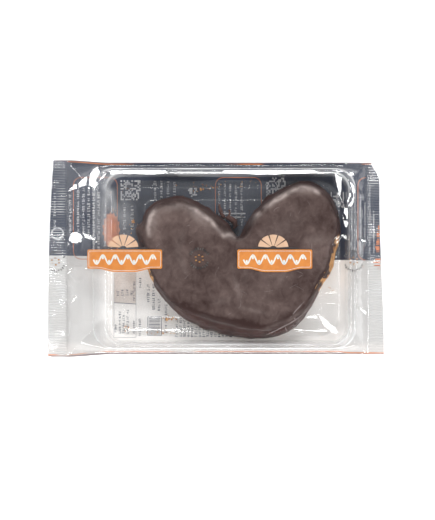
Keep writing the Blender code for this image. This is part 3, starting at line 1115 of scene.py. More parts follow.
@dataclass
class Tray:
    """The clear moulded tray: a thin shell drawn through rounded rings from its lip inwards."""

    shell: float = 0.0004
    around: int = 240
    # Middle x, half length, half width, corner and height of each ring, in millimetres.
    rings: tuple[tuple[float, float, float, float, float], ...] = (
        (5.5, 86.5, 59.4, 13.5, 16.2), (5.5, 86.6, 59.5, 13.6, 17.4), (5.5, 86.3, 59.3, 13.4, 18),
        (5.5, 85.7, 58.8, 13.2, 18.3), (5.5, 84.9, 58.4, 13, 18.4), (5.8, 83.9, 58.1, 12.8, 18.15),
        (6.2, 82.9, 57.9, 12.4, 18.15), (6.4, 82.3, 57.7, 12, 18.4), (7.4, 80.5, 57.1, 10.6, 18.4),
        (7.5, 80.3, 56.9, 10.5, 18.35), (7.5, 79.5, 56.1, 10.2, 17.98), (7.5, 79.3, 55.8, 9.9, 17.3),
        (7.5, 78.8, 55, 9.6, 10.4), (7.5, 77.9, 53.9, 9.3, 2.4), (7.5, 77.4, 53.4, 9.1, 1.4),
        (7.5, 76.5, 52.5, 8.8, 1), (7.5, 75, 51.3, 8.4, 0.92), (9.4, 71.6, 48.1, 7.9, 0.92),
        (9.5, 71.3, 47.8, 7.7, 1.35), (9.5, 71.1, 47.6, 7.6, 1.8), (9.5, 70, 46.5, 7.1, 2.43),
        (9.6, 69.7, 46.2, 6.9, 2.46), (10, 62, 40.9, 6.5, 2.46), (10.8, 58.9, 39.5, 6.2, 2.46),
        (10.9, 58.7, 39.3, 6.1, 2.5), (11, 57.9, 38.5, 5.9, 3.54), (11, 57.5, 38.1, 5.7, 3.6),
    )
    # Rings whose plastic is whitened, partly by the mould and partly as painted highlights, and how
    # much.
    pressed: tuple[tuple[int, float], ...] = (
        (1, 0.30), (2, 0.75), (3, 0.45), (5, 0.15), (8, 0.30), (9, 0.65), (10, 0.62), (11, 0.44),
        (12, 0.42), (13, 0.26), (14, 0.12), (19, 0.16), (25, 0.12),
    )
    inner_rings: int = 26
    arc: int = 15
    rib_gap: float = 0.012
    rib_height: float = 0.0009

    def ring_points(self, ring: Sequence[float]) -> Array:
        """The points of one ring, as many for each."""
        middle, half_x, half_y, corner, z = (v * MM for v in ring)
        outline = rounded_outline((middle, 0.0), (2 * half_x, 2 * half_y), corner, self.arc)
        line = self.spread(outline)
        return np.column_stack([line, np.full(len(line), z)])

    def spread(self, outline: Array) -> Array:
        """Spaces an outline's straight runs evenly, so that rings match point by point."""
        corners = outline.reshape(4, self.arc + 1, 2)
        parts = []
        for arc, ahead in zip(corners, np.roll(corners, -1, 0)):
            run = np.linspace(arc[-1], ahead[0], self.around // 4 - self.arc + 1)[1:-1]
            parts += [arc, run]
        return np.concatenate(parts)

    def build(self) -> None:
        """Makes and dresses the tray."""
        last = self.rings[-1]
        inner = []
        for left in 1 - np.linspace(0.0, 0.985, self.inner_rings + 1)[1:]:
            inner.append((last[0], last[1] * left, last[2] * left, max(last[3] * left, 0.05), last[4]))
        top = np.stack([self.ring_points(ring) for ring in (*self.rings, *inner)])
        island = top[..., 2] >= last[4] * MM - 1e-9
        x, y = top[..., 0], top[..., 1]
        near_rim = smooth_step(rounded_gap(x, y, 0.011, (0.104, 0.066), 0.004), 0.0, 0.004)
        ribs = 0.5 + 0.5 * np.cos(2 * math.pi * x / self.rib_gap)
        lift = self.rib_height * smooth_step(ribs, 0.55, 0.95) * (1 - near_rim)
        rows, count = top.shape[:2]
        top[..., 2] -= np.where(island & (np.arange(rows)[:, None] >= len(self.rings)), lift, 0.0)
        skin = Skin()
        skin.grid(np.concatenate([self.thicken(top)[::-1], top]), ring=True)
        hub = (2 * rows - 1) * count
        skin.faces.append(tuple(hub + i for i in range(count)))
        skin.faces.append(tuple(range(count))[::-1])
        plastic = ClearPlastic("tray_plastic", faces=0.8, haze=0.045, ripple=0.00002)
        tray = place(skin.make("tray"), plastic.make())
        frost_and_sheen = np.zeros((rows, 1))
        for ring, amount in self.pressed:
            frost_and_sheen[ring] = amount
        frost_and_sheen = frost_and_sheen * (0.75 + 0.45 * soft_noise(x, y, 0.015, 45))
        # The painted highlights are fainter within about 44 mm of the tray's middle line, and on the
        # lower left of the rim.
        frost_and_sheen *= 0.36 + 0.64 * smooth_step(np.abs(y), 0.044, 0.053)
        frost_and_sheen *= 1.0 - 0.55 * LESS_RIM_HIGHLIGHT.share(x, y)
        put_values(tray, "frost_and_sheen", np.concatenate([np.zeros_like(frost_and_sheen), frost_and_sheen]).ravel())

    def thicken(self, top: Array) -> Array:
        """The tray's lower face, one shell's thickness under its upper face."""
        along = np.roll(top, -1, 1) - np.roll(top, 1, 1)
        inward = np.gradient(top, axis=0)
        normal = np.cross(along, inward)
        normal /= np.linalg.norm(normal, axis=2, keepdims=True) + 1e-12
        return top - normal * self.shell


# The palmier


# Where the chocolate is paler with bloom or darker, the dark patches along its lower side being painted
# shade, and where it is worn, partly painted highlight.
BLOOM_AND_SHADE_PATCHES = ovals(
    (-30, 26, 16, 7, -25, 0.14), (-38, 14, 5, 14, 10, 0.14), (-22, 30, 7, 4, 10, 0.12),
    (-36, 24, 4, 3, 40, 0.16), (-8, 26, 8, 2.6, -42, 0.24), (62, 44, 6, 2, -10, 0.14),
    (14, -22, 3, 9, 15, 0.10), (40, -16, 12, 3, 50, 0.12), (34, -28, 10, 2.5, -20, 0.12),
    (30, -8, 2.5, 8, -15, 0.09), (-30, -8, 5, 9, 20, 0.07), (8, -10, 3, 3, 0, 0.07),
    (-10, 20, 14, 5, -40, 0.10), (45, 34, 22, 6, 30, 0.08), (66, 6, 14, 5, 5, 0.14),
    (20, 6, 8, 4, 0, 0.05), (-23, -27, 6, 3, -35, -0.16), (-8, -29, 4, 2.5, 0, -0.18),
    (0, -44, 34, 8, -12, -0.26), (-24, -34, 16, 5, -38, -0.20), (48, -40, 18, 6, 35, -0.08),
    (60, -16, 7, 10, 25, -0.08), (10, -36, 16, 4, -4, 0.07), (28, -20, 16, 10, 40, 0.05),
    (-14, -12, 10, 16, 20, 0.04), (62, 30, 8, 12, 60, -0.06), (41, -36.5, 12, 2, 38, 0.12),
    (-2, -37, 9, 2, -8, 0.10), (-51, 15, 4, 14, 0, 0.18), (-30, 39, 22, 4, 0, 0.32),
    (12, -46, 32, 5, -4, -0.26), (41, -48.2, 8, 2.2, 22, -0.8), (53, -42, 7, 2.2, 44, -0.8),
    (-22, -38, 14, 4, -44, -0.2),
)
WEAR_AND_HIGHLIGHT_PATCHES = ovals(
    (-41, 24, 3.2, 8, -14, 0.30), (-30, 33, 9, 2.6, 12, 0.26), (-12, 27, 9, 3, -40, 0.30),
    (10, 15.5, 5, 2, -20, 0.35), (57, 45, 8, 2.6, -4, 0.34), (38, 37, 8, 2.4, 38, 0.24),
    (26, 27, 6, 2, 50, 0.22), (14, -20, 1.6, 8, 12, 0.16), (46, -8, 2, 8, -28, 0.12),
    (52, -38, 7, 1.4, 38, 0.22), (38, -44, 10, 1.3, 22, 0.18), (-22, -4, 2, 7, 24, 0.10),
    (66, 12, 7, 3, 0, 0.16), (24, -34, 9, 1.6, -14, 0.14), (-24, 10, 3, 9, -20, 0.10),
    (44, 20, 14, 7, 40, 0.07), (20, -8, 2, 9, -10, 0.10), (4, -28, 7, 2, 10, 0.10),
)


@dataclass
class Palmier:
    """The pastry and its chocolate, both drawn from one outline and the width of its side."""

    # x, y and the width of the sloping side seen from above, in millimetres.
    outline: tuple[Triple, ...] = (
        (14, 15.2, 6.5), (8.4, 23.5, 7), (2.8, 28.1, 7.5), (-3.2, 32.6, 7.8), (-9.2, 36.4, 7.8),
        (-15.3, 38.9, 7.2), (-20.4, 40.7, 6.2), (-26.5, 41.4, 5.6), (-32.5, 40.5, 5), (-38.1, 38.7, 4.4),
        (-42.6, 35.6, 4.2), (-46.7, 32.1, 4), (-48.2, 28.4, 3.8), (-49.6, 24.4, 4.8), (-53, 20.2, 6.4),
        (-52.2, 13.5, 5.6), (-50.7, 6.3, 4.6), (-46.1, -6.3, 3.4), (-42.1, -15.4, 3), (-36.4, -24, 3.2),
        (-27.7, -33.6, 3.8), (-18.9, -40.5, 5.2), (-10.1, -45.1, 6.6), (-1.3, -48.2, 7.4),
        (7.6, -50.4, 7.6), (16.8, -52, 6.8), (25.9, -52.4, 5.6), (34.1, -52.1, 4.8), (42, -50.5, 5),
        (51.3, -46, 5.4), (56.8, -40.6, 5), (60.7, -34.5, 4.4), (64.4, -29.1, 4), (69.4, -19.5, 4.8),
        (75, -11.8, 5.4), (77.7, -6.2, 4.9), (79.3, 2.6, 5.8), (81.5, 10.6, 4.8), (82, 17.5, 1.8),
        (81.6, 25.6, 1.7), (78.9, 33.8, 1.8), (74.3, 42.4, 2.2), (69, 47.6, 2.8), (62.8, 50.4, 3.4),
        (56.6, 51.1, 4.2), (50.4, 50, 4.6), (42.5, 46.2, 5.2), (33.7, 40.7, 5), (28.3, 35.4, 4.4),
        (23, 28.8, 4.2), (19.2, 22.1, 4.6), (16.6, 16.8, 5.6),
    )
    # Where the chocolate stops short: x, y, reach in millimetres, and how far up it stops.
    bare_spots: tuple[tuple[float, float, float, float], ...] = (
        (81, 9, 9, 1), (77.5, -3, 11, 1), (72.4, -14, 8, 1), (69.5, -19.5, 4.5, 0.6),
        (-46.5, -5, 7, 0.95), (-43.5, -11.5, 8, 0.95), (81, 28, 9, 0.25), (73, 44, 8, 0.22),
        (50, 50, 10, 0.18),
    )
    cracks: tuple[tuple[Pair, ...], ...] = (
        ((33, -50.4), (40.5, -46.8), (48.1, -42.9), (53.7, -39.5), (57.9, -36), (62, -31.9),
         (64.2, -28.6)),
        ((45.4, -45), (46.2, -46.8), (47.3, -48.6)),
        ((50.6, -38.1), (52.6, -40.6)),
        ((48.8, -38.8), (53, -33.6), (57.9, -28.4)),
        ((53.7, -39.5), (56.6, -40.6)),
    )
    # Chocolate between the lobes: points with a radius, in millimetres.
    runs: tuple[tuple[Triple, ...], ...] = (
        ((2, 36.2, 0.8), (2.6, 33, 1.1), (3.6, 29.6, 1.4), (5.4, 26.8, 1.7)),
        ((7.8, 31.6, 0.7), (9, 32.2, 0.6), (9.2, 30.4, 0.7), (8.6, 28.2, 1), (8, 26, 1.4)),
        ((6.4, 27, 1.5), (9.4, 26.4, 2.1), (12.2, 24.4, 2), (13, 21.4, 1.4), (11.2, 19.2, 1.2)),
    )
    crack_depth: float = 0.00045
    crack_reach: float = 0.0005
    bare_bloom: float = 0.06
    bloom_and_shade_patches: tuple[Patch, ...] = BLOOM_AND_SHADE_PATCHES
    wear_and_highlight_patches: tuple[Patch, ...] = WEAR_AND_HIGHLIGHT_PATCHES
    # Ridges where the top turns over to the side, worn pale and painted with a highlight, in
    # millimetres.
    pale_rims_and_highlights: tuple[tuple[Pair, ...], ...] = (
        ((-43.5, 13), (-44.6, 20.5), (-43, 28), (-39, 33)),
        ((-27, 35.4), (-20.4, 34.9), (-14.3, 33), (-11.3, 30.4), (-3.7, 25.1), (2.4, 18),
         (5.4, 14.6)),
        ((2.6, 17.6), (5.4, 14.7), (8.6, 15.6), (11.4, 16.4), (13.2, 13.2)),
        ((30.6, 32.4), (34, 34.8), (41, 39.2), (48.8, 44), (55, 47)),
        ((52, 47), (58, 46.6), (64, 45.5), (69, 42)),
        ((24, 26), (27, 28.5), (30, 30.5)),
    )
    foot_z: float = 0.0039
    top_z: float = 0.0213
    coat: float = 0.0010
    count: int = 560
    spacing: float = 0.0009
    # The top's edge: how wide it is rounded, how far it drops and how much it swells before that.
    rounding: float = 0.0040
    edge_drop: float = 0.0007
    edge_swell: float = 0.00012
    # How far the outline is drawn in at the right.
    drawn_in: float = 0.0008
    # The pale lines on the top: how many are tried, their widths and their lift.
    hairlines: int = 60
    hairline_width: Pair = (0.00012, 0.00028)
    crack_line: float = 0.00085
    hairline_lift: float = 0.00002

    def curve(self, steps: int = 12) -> Array:
        """The outline as a smooth closed line of x, y and side width, in metres."""
        return closed_curve(self.outline, steps) * MM

    def edge(self) -> Array:
        """The outline's x and y alone, coarse enough for measuring distances."""
        return self.curve(3)[:, :2]

    def lines(self) -> tuple[Array, Array, Array, Array]:
        """The outline, the shoulder and the plateau's rim, and how bare each place is.

        Returns:
            Three lines of x and y with matching points, and the bareness from 0 to 1.
        """
        line = even_steps(self.curve(), self.count)
        rough = 0.00035 * layered_noise(line[:, 0], line[:, 1], 0.004, 51)
        soft = self.eased(line, 14)
        inward = sideways(soft[:, :2], closed=True)
        uneven = 1 + 0.12 * soft_noise(line[:, :1], line[:, 1:2], 0.009, 52)
        width = self.eased(line, 8)[:, 2:] * uneven
        shoulder = soft[:, :2] + inward * width
        plateau = self.eased(shoulder + inward * self.rounding, 5)
        bare = np.zeros(len(line))
        for x, y, reach, amount in self.bare_spots:
            near = 1 - np.hypot(line[:, 0] - x * MM, line[:, 1] - y * MM) / (reach * MM)
            bare = np.maximum(bare, amount * smooth_step(near, 0.0, 0.6))
        drawn_in = self.drawn_in * (1 - bare) * DRAWN_IN.share(line[:, 0], line[:, 1])
        outer = line[:, :2] + inward * (drawn_in - rough)[:, None]
        ragged = 0.44 * soft_noise(line[:, 0], line[:, 1], 0.0022, 53)
        ragged = ragged + 0.32 * soft_noise(line[:, 0], line[:, 1], 0.006, 54)
        return outer, shoulder, plateau, np.clip(bare * (1 + ragged), 0.0, 1.0)

    def eased(self, line: Array, reach: int) -> Array:
        """The closed line smoothed over its neighbours on both sides."""
        offsets = np.arange(-2 * reach, 2 * reach + 1)
        weights = np.exp(-((offsets / reach) ** 2))
        return sum(w * np.roll(line, int(o), 0) for w, o in zip(weights / weights.sum(), offsets))

    def relief(self, x: Array, y: Array) -> Array:
        """Gentle waves, swirl grooves and cracks of the chocolate's top."""
        waves = 0.00028 * soft_noise(x, y, 0.017, 61) + 0.00012 * soft_noise(x, y, 0.006, 62)
        z = waves - 0.00012
        for crack in self.cracks:
            gap, share = gap_to_line(x, y, np.array(crack) * MM, closed=False)
            fade = np.sin(math.pi * np.clip(share, 0, 1)) ** 0.3
            z = z - self.crack_depth * np.exp(-((gap / self.crack_reach) ** 2)) * fade
        return z

    def side_profile(self, share: Array) -> tuple[Array, Array]:
        """The side's inset from the outline and its height, from 0 to 1, for a share of the way up."""
        turn = 0.47 * math.pi
        return share**1.25, (np.sin(turn * share) / math.sin(turn)) ** 0.9

    def edge_z(self, share: Array) -> Array:
        """Height of the top's rounded edge, for a share of the way from the shoulder inwards."""
        swell = self.edge_swell * np.sin(math.pi * np.clip(share, 0, 1)) ** 2
        return self.top_z - self.edge_drop * (1 - share) ** 2 + swell

    def wall(self, outer: Array, shoulder: Array, low: Array, steps: int) -> Array:
        """Rings of the side from a height share of low up to the shoulder.

        Args:
            outer: The outline.
            shoulder: The line where the top begins.
            low: For each place along the outline, the share of the side at which the rings start.
            steps: Rings to make.

        Returns:
            An array of rings by places by 3.
        """
        share = low[None] + (1 - low[None]) * np.linspace(0.0, 1.0, steps)[:, None]
        inset, height = self.side_profile(share)
        flat = outer[None] + (shoulder - outer)[None] * inset[..., None]
        z = self.foot_z + (self.top_z - self.edge_drop - self.foot_z) * height
        return np.concatenate([flat, z[..., None]], 2)

    def crown(self, shoulder: Array, plateau: Array, steps: int) -> Array:
        """Rings that round the shoulder over to the plateau, with a slight rim along it."""
        rings = []
        for share in np.linspace(0.0, 1.0, steps)[1:]:
            flat = shoulder + (plateau - shoulder) * share
            z = self.edge_z(share) + self.relief(flat[:, 0], flat[:, 1]) * share
            rings.append(np.column_stack([flat, z]))
        return np.stack(rings)

    def outwards(self, wall: Array, plateau: Array) -> Array:
        """The unit vector away from the plateau, at each point of a wall."""
        away = wall[..., :2] - plateau[None]
        return away / np.linalg.norm(away, axis=2, keepdims=True)

    def build_coating(self) -> None:
        """Makes the chocolate: a closed shell over the top and the side, with a ragged lower edge."""
        outer, shoulder, plateau, bare = self.lines()
        steps = 14
        wall = self.wall(outer, shoulder, bare * 0.72, steps)
        lumps = layered_noise(wall[..., 0], wall[..., 1] + wall[..., 2] * 1.5, 0.004, 71)
        away = self.outwards(wall, plateau)
        wall[..., :2] += away * (0.00028 * lumps)[..., None]
        foot = smooth_step(1 - np.linspace(0, 1, steps), 0.72, 1.0)[:, None] * (1 - bare)[None]
        pooled = 0.0006 + 0.0005 * soft_noise(outer[:, 0], outer[:, 1], 0.006, 72)
        wall[..., :2] += away * (foot * pooled[None])[..., None]
        crown = self.crown(shoulder, plateau, 7)
        outside = np.concatenate([wall, crown])
        inside = outside.copy()
        inward = plateau[None] - outside[..., :2]
        inward /= np.linalg.norm(inward, axis=2, keepdims=True) + 1e-9
        inside[..., :2] += inward * self.coat * np.linspace(1, 0.4, len(outside))[:, None, None]
        inside[..., 2] -= self.coat * np.linspace(0.0, 1.0, len(outside))[:, None]
        rings = np.concatenate([inside[::-1], outside])
        points, faces = fill_outline(plateau, self.spacing)
        z = self.top_z + self.relief(points[:, 0], points[:, 1])
        skin = Skin()
        skin.grid(rings, ring=True)
        count = len(plateau)
        self.cap(skin, points, z, faces, skin.count - count, False)
        self.cap(skin, points, z - self.coat, faces, 0, True)
        thing = skin.make("palmier_coating")
        self.keep_bloom_and_shade(thing, outer, shoulder)
        place(thing, Chocolate().make())

    def cap(self, skin: Skin, points: Array, z: Array, faces: Array, rim: int, flip: bool) -> None:
        """Closes a ring with the filled plateau.

        Args:
            skin: The mesh being gathered.
            points: x and y of the plateau's points, those of its rim first.
            z: Height of each.
            faces: Triangles on those points.
            rim: Number of the ring's first point in the mesh.
            flip: Turns the faces over.
        """
        first = skin.add(np.column_stack([points[self.count :], z[self.count :]]), [])
        numbers = np.where(faces < self.count, faces + rim, faces - self.count + first)
        skin.faces += [tuple(f) for f in (numbers[:, ::-1] if flip else numbers).tolist()]

    def keep_bloom_and_shade(self, thing: bpy.types.Object, outer: Array, shoulder: Array) -> None:
        """Keeps how pale the chocolate is at each point, with painted shade along the lower side and
        painted highlights on the ridges.

        Args:
            thing: The coating.
            outer: The outline.
            shoulder: The line where the top begins.
        """
        co = np.zeros(3 * len(thing.data.vertices), np.float32)
        thing.data.vertices.foreach_get("co", co)
        x, y, z = co.reshape(-1, 3).astype(float).T
        gap, _ = gap_to_line(x, y, shoulder[::4])
        # Painted shade: towards the lower side the side is darker and the dark rim is wider.
        low = smooth_step(-y, 0.026, 0.038)
        crisp, soft = smooth_step(-gap, -0.0006, 0.0008), smooth_step(-gap, -0.0015, 0.0055)
        top = (1 - low) * crisp + low * soft
        streak = smooth_step(layered_noise(x * 0.7 + y * 0.5, y - 0.4 * x, 0.006, 81), 0.0, 0.9)
        bloom = self.bare_bloom + top * (0.17 + 0.13 * streak)
        for patch in self.bloom_and_shade_patches:
            bloom = bloom + patch.glow(x, y) * (0.35 + 0.65 * top)
        worn = np.zeros_like(x)
        for line in self.pale_rims_and_highlights:
            near, along = gap_to_line(x, y, np.array(line) * MM, closed=False)
            fade = np.sin(math.pi * np.clip(along, 0, 1)) ** 0.6
            rough = 0.75 + 0.55 * soft_noise(x, y, 0.0045, 83)
            worn = np.maximum(worn, 1.1 * rough * fade * np.exp(-((near / 0.0014) ** 2)))
        for patch in self.wear_and_highlight_patches:
            worn = worn + patch.glow(x, y)
        bloom = bloom + (0.19 * PALE_SIDE.share(x, y) - 0.30 * low) * (1 - top)
        rim = np.exp(-((gap_to_line(x, y, outer[::4])[0] / (0.0013 + 0.0042 * low)) ** 2))
        put_values(thing, "rim", rim * (0.45 + 0.35 * soft_noise(x, y, 0.006, 85)))
        put_values(thing, "worn", np.clip(worn, 0.0, 1.0))
        put_values(thing, "bloom", bloom)

    def build_pastry(self) -> None:
        """Makes the baked core, whose flaky side shows where the chocolate stops."""
        outer, shoulder, plateau, bare = self.lines()
        wall = self.wall(outer, shoulder, np.zeros(len(outer)), 34)
        z = wall[..., 2]
        along = np.linspace(0.0, 0.42, len(outer), endpoint=False)[None] + 0 * z
        bent = z * 6.0 + 0.001 * soft_noise(along, 0 * along, 0.006, 91)
        flakes = 0.55 * soft_noise(along, bent, 0.0042, 92)
        flakes = flakes + 0.45 * soft_noise(along, z * 3.0, 0.0016, 93)
        shown = smooth_step(bare, 0.05, 0.4)[None]
        proud = -self.coat * 1.35 * (1 - shown) + shown * (0.0006 * flakes - 0.0003)
        wall[..., :2] += self.outwards(wall, plateau) * proud[..., None]
        # The core's upper rings sink away under the coating.
        wall[-6:, :, 2] -= self.coat * np.linspace(0.3, 1.4, 6)[:, None]
        skin = Skin()
        skin.grid(wall, ring=True)
        count = len(outer)
        top, faces = fill_outline(wall[-1, :, :2], 0.004)
        height = np.full(len(top), self.top_z - 2.2 * self.coat)
        self.cap(skin, top, height, faces, skin.count - count, False)
        low, faces = fill_outline(wall[0, :, :2], 0.006)
        self.cap(skin, low, np.full(len(low), self.foot_z), faces, 0, True)
        place(skin.make("palmier_pastry"), Crust().make())

    def build_runs(self) -> None:
        """Makes the chocolate that ran out between the lobes."""
        skin = Skin()
        for run in self.runs:
            self.add_tube(skin, self.tube_line(np.array(run) * MM))
        thing = skin.make("chocolate_runs")
        fuse = thing.modifiers.new("fuse", "REMESH")
        fuse.mode = "VOXEL"
        fuse.voxel_size = 0.00035
        fuse.use_smooth_shade = True
        bpy.context.view_layer.update()
        evaluated = thing.evaluated_get(bpy.context.evaluated_depsgraph_get())
        fused = bpy.data.meshes.new_from_object(evaluated)
        thing.modifiers.clear()
        thing.data = fused
        put_values(thing, "bloom", np.full(len(fused.vertices), 0.18))
        put_values(thing, "rim", np.full(len(fused.vertices), 0.25))
        finish = Chocolate("chocolate_runs", (0.075, 0.032, 0.026), (0.20, 0.13, 0.12), roughness=0.3)
        place(thing, finish.make())

    def tube_line(self, run: Array) -> Array:
        """A run's points spaced evenly: x, y and radius."""
        share = np.linspace(0, 1, len(run))
        fine = np.linspace(0, 1, 26)
        return np.stack([np.interp(fine, share, column) for column in run.T], 1)

    def add_tube(self, skin: Skin, line: Array) -> None:
        """Adds a closed lumpy tube that lies on the tray's floor.

        Args:
            skin: The mesh being gathered.
            line: x, y and radius of each place along it.
        """
        sides = 14
        across = sideways(line[:, :2])
        turn = np.linspace(0, 2 * math.pi, sides, endpoint=False)
        ends = np.sin(np.linspace(0.12, math.pi - 0.12, len(line))) ** 0.35
        radius = line[:, 2] * ends * (1 + 0.18 * soft_noise(line[:, 0], line[:, 1], 0.002, 97))
        flat = line[:, None, :2] + across[:, None] * (radius[:, None] * np.cos(turn))[..., None]
        z = self.foot_z + radius[:, None] * (0.95 + np.sin(turn))
        skin.grid(np.concatenate([flat, z[..., None]], 2), ring=True)
        last = skin.count - sides
        first = skin.count - sides * len(line)
        skin.faces.append(tuple(range(first, first + sides))[::-1])
        skin.faces.append(tuple(range(last, last + sides)))

    def build_scratches(self) -> None:
        """Makes the pale lines along the cracks and the hairlines on the chocolate's top."""
        random = np.random.default_rng(5)
        skin = Skin()
        lines = [np.array(crack) for crack in self.cracks]
        steps = np.linspace(0, 1, 4)
        for _ in range(self.hairlines):
            x, y = random.uniform(-42, 70), random.uniform(-42, 44)
            turn, length = random.normal(0.9, 0.9), random.uniform(1.5, 7.0)
            turns = turn + random.normal(0, 0.5) * steps
            reach = length * steps
            lines.append(np.stack([x + reach * np.cos(turns), y + reach * np.sin(turns)], 1))
        edge = self.edge()
        for number, line in enumerate(lines):
            fine = even_steps(line * MM, 12, closed=False)
            if number < len(self.cracks):
                self.add_hairline(skin, fine, self.crack_line)
            elif (gap_to_line(fine[:, 0], fine[:, 1], edge)[0] <= -0.0088).all():
                self.add_hairline(skin, fine, random.uniform(*self.hairline_width))
        finish = Ink("bloom_hairline", (0.20, 0.155, 0.15), (0.11, 0.080, 0.075), 0.6)
        place(skin.make("coating_scratches"), finish.make())

    def add_hairline(self, skin: Skin, line: Array, width: float) -> None:
        """Adds a thin pale sliver that lies on the chocolate's top."""
        taper = np.sin(np.linspace(0.1, math.pi - 0.1, len(line)))[:, None] ** 0.5
        half = sideways(line) * width / 2 * taper
        sides = np.stack([line - half, line + half])
        z = self.top_height(sides[..., 0].ravel(), sides[..., 1].ravel()).reshape(sides.shape[:2])
        skin.grid(np.concatenate([sides, (z + self.hairline_lift)[..., None]], 2), flip=True)

    def top_height(self, x: Array, y: Array) -> Array:
        """Height of the chocolate's top, also a little way down its side."""
        plateau = self.lines()[2]
        out = gap_to_line(x, y, plateau[::3])[0]
        share = np.clip(1 - out / self.rounding, -2.0, 1.0)
        return self.edge_z(share) + self.relief(x, y) * np.clip(share, 0.3, 1.0)


# Crumbs


@dataclass(frozen=True)
class CrumbPatch:
    """Crumbs scattered round a spot, in millimetres."""

    centre: Pair
    reach: Pair
    count: int
    size: float


@dataclass
class Crumbs:
    """Flakes of pastry and bits of chocolate that lie loose in the tray."""

    floor: Surface
    pastry_patches: tuple[CrumbPatch, ...] = (
        CrumbPatch((-8, 48), (14, 4), 26, 0.8), CrumbPatch((18, 50), (12, 3), 14, 0.6),
        CrumbPatch((-66, 33), (3, 3), 6, 0.9), CrumbPatch((-55, 22), (4, 5), 12, 0.9),
        CrumbPatch((-60, -46), (2, 2), 5, 1.2), CrumbPatch((-31, -40), (5, 2), 10, 1.0),
        CrumbPatch((-36, -49), (12, 2), 14, 0.8), CrumbPatch((76, -20), (3, 2), 7, 0.6),
        CrumbPatch((-68, 44), (6, 8), 8, 0.5), CrumbPatch((74, -50), (14, 4), 6, 0.5),
        CrumbPatch((-70, -10), (4, 30), 8, 0.5),
    )
    chocolate_patches: tuple[CrumbPatch, ...] = (
        CrumbPatch((16, 23), (4, 6), 9, 0.8), CrumbPatch((-57, 46), (2, 2), 2, 1.6),
        CrumbPatch((-4, 46), (8, 3), 6, 0.7), CrumbPatch((46, -53), (6, 1), 5, 0.7),
    )

    def build(self) -> None:
        """Makes and dresses both kinds."""
        gold = self.scatter("pastry_crumbs", self.pastry_patches, 7)
        place(gold, Crust("crumb_crust", (0.56, 0.25, 0.07), (0.70, 0.42, 0.18)).make())
        dark = self.scatter("chocolate_crumbs", self.chocolate_patches, 8)
        put_values(dark, "bloom", np.full(len(dark.data.vertices), 0.2))
        place(dark, Chocolate("chocolate_crumb", (0.085, 0.034, 0.026)).make())

    def scatter(self, name: str, patches: Sequence[CrumbPatch], seed: int) -> bpy.types.Object:
        """Makes one mesh of crumbs.

        Args:
            name: The piece's name.
            patches: Where they lie.
            seed: Picks their places and shapes.

        Returns:
            The piece.
        """
        random = np.random.default_rng(seed)
        skin = Skin()
        for patch in patches:
            for _ in range(patch.count):
                x, y = np.array(patch.centre) + random.normal(0, 0.5, 2) * patch.reach
                size = 0.62 * patch.size * random.lognormal(0, 0.4) * MM
                self.add_crumb(skin, x * MM, y * MM, size, random)
        return skin.make(name, smooth=False)

    def add_crumb(
        self, skin: Skin, x: float, y: float, size: float, random: np.random.Generator
    ) -> None:
        """Adds one uneven flake that lies on the floor."""
        corners = 7
        turn = np.linspace(0, 2 * math.pi, corners, endpoint=False) + random.uniform(0, 6)
        radius = size * random.uniform(0.45, 1.0, corners)
        stretch = random.uniform(0.4, 1.0)
        ring = np.stack([np.cos(turn) * radius, np.sin(turn) * radius * stretch], 1)
        lean = random.uniform(0, math.pi)
        cos, sin = math.cos(lean), math.sin(lean)
        turned = ring @ np.array([[cos, sin], [-sin, cos]])
        floor = float(self.floor(np.array([x]), np.array([y]))[0]) + 0.00003
        thick = size * random.uniform(0.25, 0.6)
        rings = [np.column_stack([turned * 0.8 + (x, y), np.full(corners, floor)])]
        for reach, rise in ((1.0, (0.4, 0.7)), (0.55, (0.9, 1.2))):
            z = floor + thick * random.uniform(*rise, corners)
            rings.append(np.column_stack([turned * reach + (x, y), z]))
        first = skin.grid(np.stack(rings), ring=True)
        skin.faces.append(tuple(range(first, first + corners))[::-1])
        skin.faces.append(tuple(range(first + 2 * corners, first + 3 * corners)))


# Print


